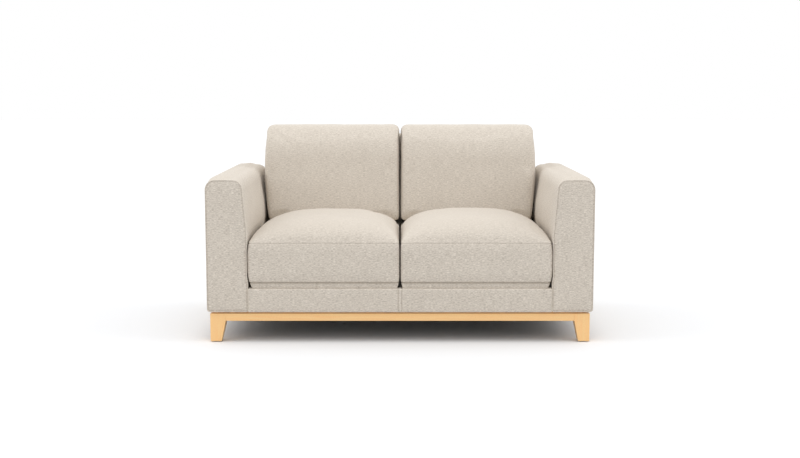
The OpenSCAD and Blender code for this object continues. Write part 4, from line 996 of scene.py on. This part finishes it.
for side, sx in (("left", -1), ("right", 1)):
    seed = 12.6 if sx < 0 else 21.9
    crown, slope = (SEAT_CROWN, 3) if sx < 0 else (SEAT_CROWN + 4, 2.6)
    rings = []
    for inset, side_in, z in foot_rows + boxing_rows + seam_rows:
        corner_r = SEAT_CORNERS if z > 251 else [6, 6, 12, 12] if z > 228 else 12
        half_w, half_d = SEAT_W / 2 - side_in, SEAT_D / 2 - max(inset, 0)
        ring = joined(rounded_sides(half_w, half_d, corner_r, seat_across, seat_along))
        ring[:, 0] += side_share(-ring[:, 0], MIDDLE_SIDE) * (0.8 + max(0, -side_in))
        # The foot of the cover draws in on the arm side, where the cushion is pushed past the arm
        past_arm = 4.2 * ramp((z - 250) / 40) * ramp((418 - z) / 50) - 3.5 * ramp((256 - z) / 26)
        ring[:, 0] += side_share(ring[:, 0], ARM_SIDE) * past_arm
        height = z - 3.2 * ramp((236 - z) / 8) * ramp((24 - SEAT_D / 2 - ring[:, 1]) / 10)
        zipped = (ring[:, 1] > SEAT_D / 2 - 1) & (np.abs(ring[:, 0]) < ZIP_HALF + 1)
        ring[:, 1] -= PLACKET_D * (zipped & (abs(z - SEAT_ZIP_Z) < PLACKET_HALF))
        if sx < 0 and 228 < z < 248:
            tuck = np.maximum(0, 1 - np.abs(ring[:, 0] - TUCK_X) / TUCK_HALF) * (ring[:, 1] < 0)
            ring[:, 1] += TUCK_IN * tuck
        rings.append(np.column_stack([ring, height]))
    last = rounded_sides(SEAT_W / 2 - 1.1, SEAT_D / 2 - 0.9, SEAT_CORNERS, seat_across, seat_along)
    x, y = np.moveaxis(coons(*last), -1, 0)
    depth = edge_distance(coons(*last), joined(last))
    crown_z = SEAT_SEAM + np.hypot(4.5, seat_rise(x, y, crown, slope) * ramp(depth / 5))
    free = ramp(depth / 70) * ramp((pressed_from - pressed_run * 0.3 - y) / 60)
    crown_z += 1.6 * uneven(x, y, 120, seed) * free
    top = np.dstack([x + 0.8 * side_share(-x, MIDDLE_SIDE), y, crown_z])
    foot = rounded_sides(SEAT_W / 2 - FOOT_SIDE_IN, SEAT_D / 2 - FOOT_IN, 12, seat_across, seat_along)
    x, y = np.moveaxis(coons(*foot), -1, 0)
    x = x + 0.8 * side_share(-x, MIDDLE_SIDE)
    bottom = np.dstack([x - 3.5 * side_share(x, ARM_SIDE), y, np.full(x.shape, SEAT_FOOT)])
    grids = []
    for grid in (np.array(rings), top, bottom):
        grids.append(np.stack([sx * (SEAT_X + grid[..., 0]), SEAT_Y + grid[..., 1], grid[..., 2]], axis=-1))
    cushion = skin("seat_cushion_cover_%s" % side, grids)
    co = np.array([v.co for v in cushion.data.vertices]) / MM
    # The seam, the foot and the cloth round the zip are held while the filling swells the rest
    from_seam = edge_distance(co[None, :, :2] * [sx, 1] - [SEAT_X, SEAT_Y], joined(last))[0]
    on_seam = (np.abs(co[:, 2] - SEAT_SEAM) < 3.2) & (from_seam < 4)
    zip_near = (np.abs(co[:, 2] - SEAT_ZIP_Z) < PLACKET_HALF + 2) & (co[:, 1] > 240)
    held = np.flatnonzero(on_seam | (co[:, 2] < 254) | zip_near)
    x_room = sorted((sx * 2.6, sx * 628.2))
    off_seam = np.minimum(ramp((np.abs(co[:, 2] - SEAT_SEAM) - 2) / 34), ramp((co[:, 2] - 252) / 40))
    filled(cushion, held, 0.4 + 4.6 * off_seam, (x_room[0], -458.2, 225), (x_room[1], SEAT_REAR, 540))
    lay_weave(cushion, shift=0.17 * sx)
    brush_pile(cushion, 0, 0.68)
    cushion.data.materials.append(settee_weave)
    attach(cushion, "seat_cushion_%s_body" % side)
    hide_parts("seat_cushion_%s" % side)

# Back cushions
# Fibre-filled cushions with a deep rounded front, sewn to a flat rear panel by one seam near the
# back edge, where the cloth is gathered a little. The zip lies low on the rear panel.
BACK_W, BACK_H, BACK_CX, BACK_R, REAR_INSET, REST_GAP = 621, 437, 314.5, [16, 16, 27, 27], 13, 0.3
ROUND_R, ROUND_DEPTH, SIDE_DEPTH, BACK_ZIP_Z, ZIP_SHIFT = 52, 32, 102, 488.3, -11
# How far the front falls back to the top and to the sides
TOP_FALL, SIDE_FALL = 44, 3
back_cz = CUSHION_FOOT + BACK_H / 2
zip_v = BACK_ZIP_Z - back_cz


def back_sides(inset, across, along):
    """The four sides of a back cushion, drawn in by an inset"""
    return rounded_sides(BACK_W / 2 - inset, BACK_H / 2 - inset, BACK_R, across, along)


# The points up the sides crowd round the zip
fine = np.linspace(0, 1, 400)
rear_heights = back_sides(REAR_INSET, np.linspace(0, 1, 3), fine)[2][:, 1]
zip_shares = np.interp(zip_v + np.array([-17, -12.5, -10.5, -5, 0, 5, 10.5, 12.5, 18]), rear_heights, fine)
below_zip, above_zip = np.linspace(0, zip_shares[0], 3), np.linspace(zip_shares[-1], 1, 34)
back_along = np.concatenate([below_zip, zip_shares[1:-1], above_zip])
back_across = np.linspace(0, 1, 54)
# How far in each row of the sides lies, and how far before the rear panel; the seam is the row at 19
side_rows = ([(REAR_INSET, 0), (7, 1), (2.5, 5), (1, 10), (0.8, 14.5), (2.8, 17.6), (4, 19), (2.8, 20.4)]
             + [(0.6, 24), (-0.2, 32)] + [(-0.7, w) for w in (43, 54, 65, 76, 87)]
             + [(-0.3, 96), (0, SIDE_DEPTH)])
# Then the front rolls over: how far in, and what is left of the roll
roll_angles = np.radians((13, 26, 40, 54, 68, 80, 90))
roll_rows = [(ROUND_R * (1 - math.cos(a)), ROUND_DEPTH * (1 - math.sin(a))) for a in roll_angles]


def fullness(x, v):
    """How far the front stands out inside the roll: it falls back to the top, and a little to the sides"""
    to_top = np.clip(1 - (BACK_H / 2 - v) / 150, 0, 1)
    to_side = np.clip(1 - (BACK_W / 2 - np.abs(x)) / 110, 0, 1)
    return CUSHION_T - TOP_FALL * to_top ** 2 - SIDE_FALL * to_side ** 2


def tightened(ring, inset):
    """The roll drawn tight at the sides and along the foot"""
    x, v = ring[..., 0], ring[..., 1]
    x = x + 0.74 * inset * np.sign(x) * np.clip(np.abs(x) / (BACK_W / 2 - inset), 0, 1) ** 6
    return x, v - 0.3 * inset * np.clip(-v / (BACK_H / 2 - inset), 0, 1) ** 4


for side, sx in (("left", -1), ("right", 1)):
    seed = 31.7 if sx < 0 else 44.1

    def back_place(x, v, w):
        """A point of the cushion: across it, up it, and in front of the inside back"""
        lower = np.maximum(0, 0.1 - v / BACK_H) / 0.6
        upper = np.maximum(0, v / BACK_H - 0.1) / 0.4
        x = x - np.where(x > 0, (20 * lower ** 2 + 5 * upper ** 1.5) * x / (BACK_W / 2), 0)
        near_top = ramp((v - BACK_H / 2 + 75) / 60) * ramp((w - 14) / 20)
        v = v + 2.6 * (uneven(x, w, 75, seed) - 0.2) * near_top
        w = w + 1.8 * uneven(x, v, 140, seed + 3) * ramp((w - 120) / 40) * ramp((v + BACK_H / 2 - 10) / 60)
        z = back_cz + v
        return np.stack([sx * (BACK_CX + x), inside_y(z) - REST_GAP - w, z], axis=-1)

    rings = []
    for inset, w in side_rows:
        ring = joined(back_sides(inset, back_across, back_along))
        run = np.arange(len(ring)) * 11.0
        gather = 1.7 * min(1, w / 8) * math.exp(-((w - 19) / 13) ** 2)
        gather = gather * np.clip(uneven(run, np.zeros(len(run)), 17, seed), -0.4, 1)
        gather = gather * ramp((ring[:, 1] + BACK_H / 2 - 30) / 60)
        ring -= gather[:, None] * ring / np.linalg.norm(ring, axis=1)[:, None]
        ring[:, 0] += 0.5 * max(inset, 0) * np.sign(ring[:, 0]) * (ring[:, 0] / (BACK_W / 2 - inset)) ** 2
        if w > ROUND_DEPTH:
            # Past the seam the sides stretch to meet the roll
            stretch = (fullness(*ring.T) - 2 * ROUND_DEPTH) / (SIDE_DEPTH - ROUND_DEPTH)
            w = ROUND_DEPTH + (w - ROUND_DEPTH) * stretch
        rings.append(back_place(*ring.T, w))
    for inset, short in roll_rows:
        x, v = tightened(joined(back_sides(inset, back_across, back_along)), inset)
        rings.append(back_place(x, v, fullness(x, v) - short))
    x, v = tightened(coons(*back_sides(ROUND_R, back_across, back_along)), ROUND_R)
    front = back_place(x, v, fullness(x, v))
    x, v = np.moveaxis(coons(*back_sides(REAR_INSET, back_across, back_along)), -1, 0)
    sunk = (np.abs(v - zip_v) < PLACKET_HALF) & (np.abs(x - ZIP_SHIFT) < ZIP_HALF + 1)
    x = x + 0.5 * REAR_INSET * np.sign(x) * (x / (BACK_W / 2 - REAR_INSET)) ** 2
    rear = back_place(x, v, PLACKET_D * sunk.astype(float))
    cushion = skin("back_cushion_cover_%s" % side, [np.array(rings), front, rear])
    co = np.array([v.co for v in cushion.data.vertices]) / MM
    depth = inside_y(co[:, 2]) - REST_GAP - co[:, 1]
    held = np.flatnonzero((depth < 21) | (co[:, 2] < 446))
    x_room = sorted((sx * 3.2, sx * 631))
    filled(cushion, held, 4, (x_room[0], 60, CUSHION_FOOT), (x_room[1], 400, 880),
           pressure=2.5, give=(0.5, 1, 0.35))
    lay_weave(cushion, shift=0.23 * sx)
    brush_pile(cushion, 0.25, 0.4)
    cushion.data.materials.append(settee_weave)
    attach(cushion, "back_cushion_%s_body" % side)
    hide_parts("back_cushion_%s" % side)

# Zips
# A spiral zip lies in a shallow placket at the back of every cushion: two tapes of dark twill, a
# chain of moulded teeth, and a die-cast slider with a flat pull that runs along it.
TOOTH_STEP, TOOTH_OUT, CHAIN_D, TAPE_D, TAPE_BACK_D, EASE = 2.4, 0.75, 5.6, 6.1, 6.8, 0.3
zip_tape = woven("zip_tape", (0.2, 0.18, 0.155), (0.29, 0.265, 0.23), (90, 300), 0.8, 0.3, 0.05)
zip_teeth = mottled("zip_teeth", (0.19, 0.175, 0.155), (0.26, 0.24, 0.215), 800, 0.45, 0.1)
zip_cast = mottled("zip_cast", (0.16, 0.16, 0.165), (0.27, 0.27, 0.275), 400, 0.33, 0.1, metallic=1.0)


def on_seat(points):
    """Across, up and into the rear boxing of a seat cushion"""
    return np.stack([points[:, 0], SEAT_REAR - points[:, 2], SEAT_ZIP_Z + points[:, 1]], axis=1)


def on_back(points):
    """Across, up and into the rear panel of a back cushion"""
    z = BACK_ZIP_Z + points[:, 1]
    return np.stack([points[:, 0], inside_y(z) - REST_GAP - points[:, 2], z], axis=1)


def plate(outer, hole, near, far):
    """A grid over a flat plate with eased edges, from its outline, its hole or middle, and two depths"""
    outlines = ((outer, 0, near + EASE), (outer, EASE, near), (hole, 0, near),
                (hole, 0, far), (outer, EASE, far), (outer, 0, far - EASE))
    rows = []
    for outline, shrink, depth in outlines:
        drawn_in = outline * (1 - shrink / np.abs(outline).max(axis=0)) if shrink else outline
        rows.append(np.column_stack([drawn_in, np.full(len(outline), depth)]))
    return np.array(rows + rows[:1])


def loop(half_x, half_y, r):
    """A closed rounded outline about its own middle"""
    corners = ((1, 1), (-1, 1), (-1, -1), (1, -1))
    arcs = [bend(x * (half_x - r), y * (half_y - r), r, 90 * i, 90 * i + 90, 6)
            for i, (x, y) in enumerate(corners)]
    return np.concatenate(arcs + [arcs[0][:1]])


# The slider is a body with a bridge over it and a pull with a slot: its outline, its hole or
# middle, how far along it lies, and its two depths
shell, bridge = loop(7, 5.5, 2.4), loop(3.2, 1.6, 0.8)
slider_plates = ((shell, shell * 0.02, 7, 3.0, 4.7), (bridge, bridge * 0.02, 7, 2.6, 3.2),
                 (loop(13, 3, 1.4), loop(8.5, 1.5, 0.8) + [1.5, 0], 20, 1.7, 2.8))
# A tooth is a peg, wider at its foot
tooth_ends = [np.array([[(-r, -1.6, d), (r, -1.6, d)], [(-r, 1.6, d), (r, 1.6, d)]])
              for r, d in ((0.55, -0.5), (0.8, 0.7))]
for part, place, centre, turn in (("seat", on_seat, SEAT_X, 90),
                                  ("back", on_back, BACK_CX + ZIP_SHIFT, 90 + BACK_LEAN)):
    for side, sx in (("left", -1), ("right", 1)):
        middle = sx * centre
        tooth = skin("tooth_shape", tooth_ends + walls(*tooth_ends))
        chain_lines = [[middle + end * (ZIP_HALF - 2) + shift, up, CHAIN_D]
                       for shift, up in ((0, TOOTH_OUT), (TOOTH_STEP / 2, -TOOTH_OUT)) for end in (-1, 1)]
        chain = along_path("zip_teeth_%s_%s" % (part, side), tooth, place(np.array(chain_lines)),
                           [(0, 1), (2, 3)], TOOTH_STEP, zip_teeth, math.radians(turn))
        bpy.data.objects.remove(tooth)
        tapes = []
        for low, high in ((0.9, 10.6), (-10.6, -0.9)):
            tape_x, tape_up = np.meshgrid(np.linspace(middle + 1 - ZIP_HALF, middle - 1 + ZIP_HALF, 120),
                                          np.linspace(low, high, 5))
            wave = 0.12 * uneven(tape_x, tape_up, 14, 5.5)
            faces = []
            for depth in (TAPE_D + wave, np.full(wave.shape, TAPE_BACK_D)):
                points = np.column_stack([tape_x.ravel(), tape_up.ravel(), depth.ravel()])
                faces.append(place(points).reshape(*wave.shape, 3))
            tapes += faces + walls(*faces)
        tape = skin("zip_tapes_%s_%s" % (part, side), tapes)
        lay_weave(tape)
        tape.data.materials.append(zip_tape)
        for piece, finish in ((chain, "zip_metal"), (tape, "deck_fabric")):
            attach(piece, "%s_cushion_%s_body" % (part, side))
        slider_grids = []
        for outline, hole, along, near, far in slider_plates:
            flat = plate(outline, hole, near, far)
            flat[..., 0] += middle - ZIP_HALF + EASE + along
            slider_grids.append(place(flat.reshape(-1, 3)).reshape(flat.shape))
        slider = skin("zip_slider_cast_%s_%s" % (part, side), slider_grids)
        slider.data.materials.append(zip_cast)
        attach(slider, "%s_zip_%s_body" % (part, side))
        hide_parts("%s_zip_slider_%s" % (part, side))

# Dust cover
# Thin black spunbonded cloth closes the underside. It is cut round the corner braces, turned in at
# the edge, and stapled every 55 mm to the foot of the rails.
DUST_X, DUST_Y, DUST_CUT, DUST_Z, DUST_T, STAPLE_STEP, STAPLE_IN = 758, 418, 120.6, 126.3, 0.5, 55, 8
dust_cloth = woven("dust_cloth", (0.012, 0.012, 0.013), (0.03, 0.03, 0.032), (300, 300), 1.2, 0.25, 0.02)
across_y = np.linspace(-DUST_Y + 0.5, DUST_Y - 0.5, 61)
reach = DUST_X - 0.5 - np.maximum(0, np.abs(across_y) - (DUST_Y - DUST_CUT))
gx = reach[:, None] * np.linspace(-1, 1, 101)[None]
gy = np.repeat(across_y[:, None], 101, axis=1)
from_edge = np.minimum(reach[:, None] - np.abs(gx), DUST_Y - np.abs(gy))
droop = 2.6 * ramp((from_edge - 12) / 170) + 0.5 * uneven(gx, gy, 110, 8.8) * ramp((from_edge - 14) / 40)
folded = 0.35 * (from_edge < 10)
under = np.stack([gx, gy, DUST_Z - droop - folded], axis=-1)
upper = np.stack([gx, gy, DUST_Z + DUST_T - droop], axis=-1)
dust = skin("dust_cloth_sheet", [under, upper] + walls(under, upper))
lay_weave(dust)
dust.data.materials.append(dust_cloth)
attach(dust, "settee_frame")
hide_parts("dust_cover")
staple = lathe("staple_shape", [(0, -0.35), (0.45, -0.25), (0.45, 0.25), (0, 0.35)], 6)
staple.data.transform(Matrix.Diagonal((12, 1, 1, 1)))
corner = DUST_CUT - STAPLE_IN / 2
staple_x, staple_y = DUST_X - STAPLE_IN, DUST_Y - STAPLE_IN
corner_x, corner_y = DUST_X - corner, DUST_Y - corner
staple_path = [(staple_x, -corner_y), (staple_x, corner_y), (corner_x, staple_y), (-corner_x, staple_y),
               (-staple_x, corner_y), (-staple_x, -corner_y), (-corner_x, -staple_y), (corner_x, -staple_y)]
staples = along_path("dust_cloth_staples", staple, [(x, y, DUST_Z - 0.55) for x, y in staple_path],
                     [(i, (i + 1) % 8) for i in range(8)], STAPLE_STEP, bolt_steel)
bpy.data.objects.remove(staple)
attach(staples, "settee_frame")
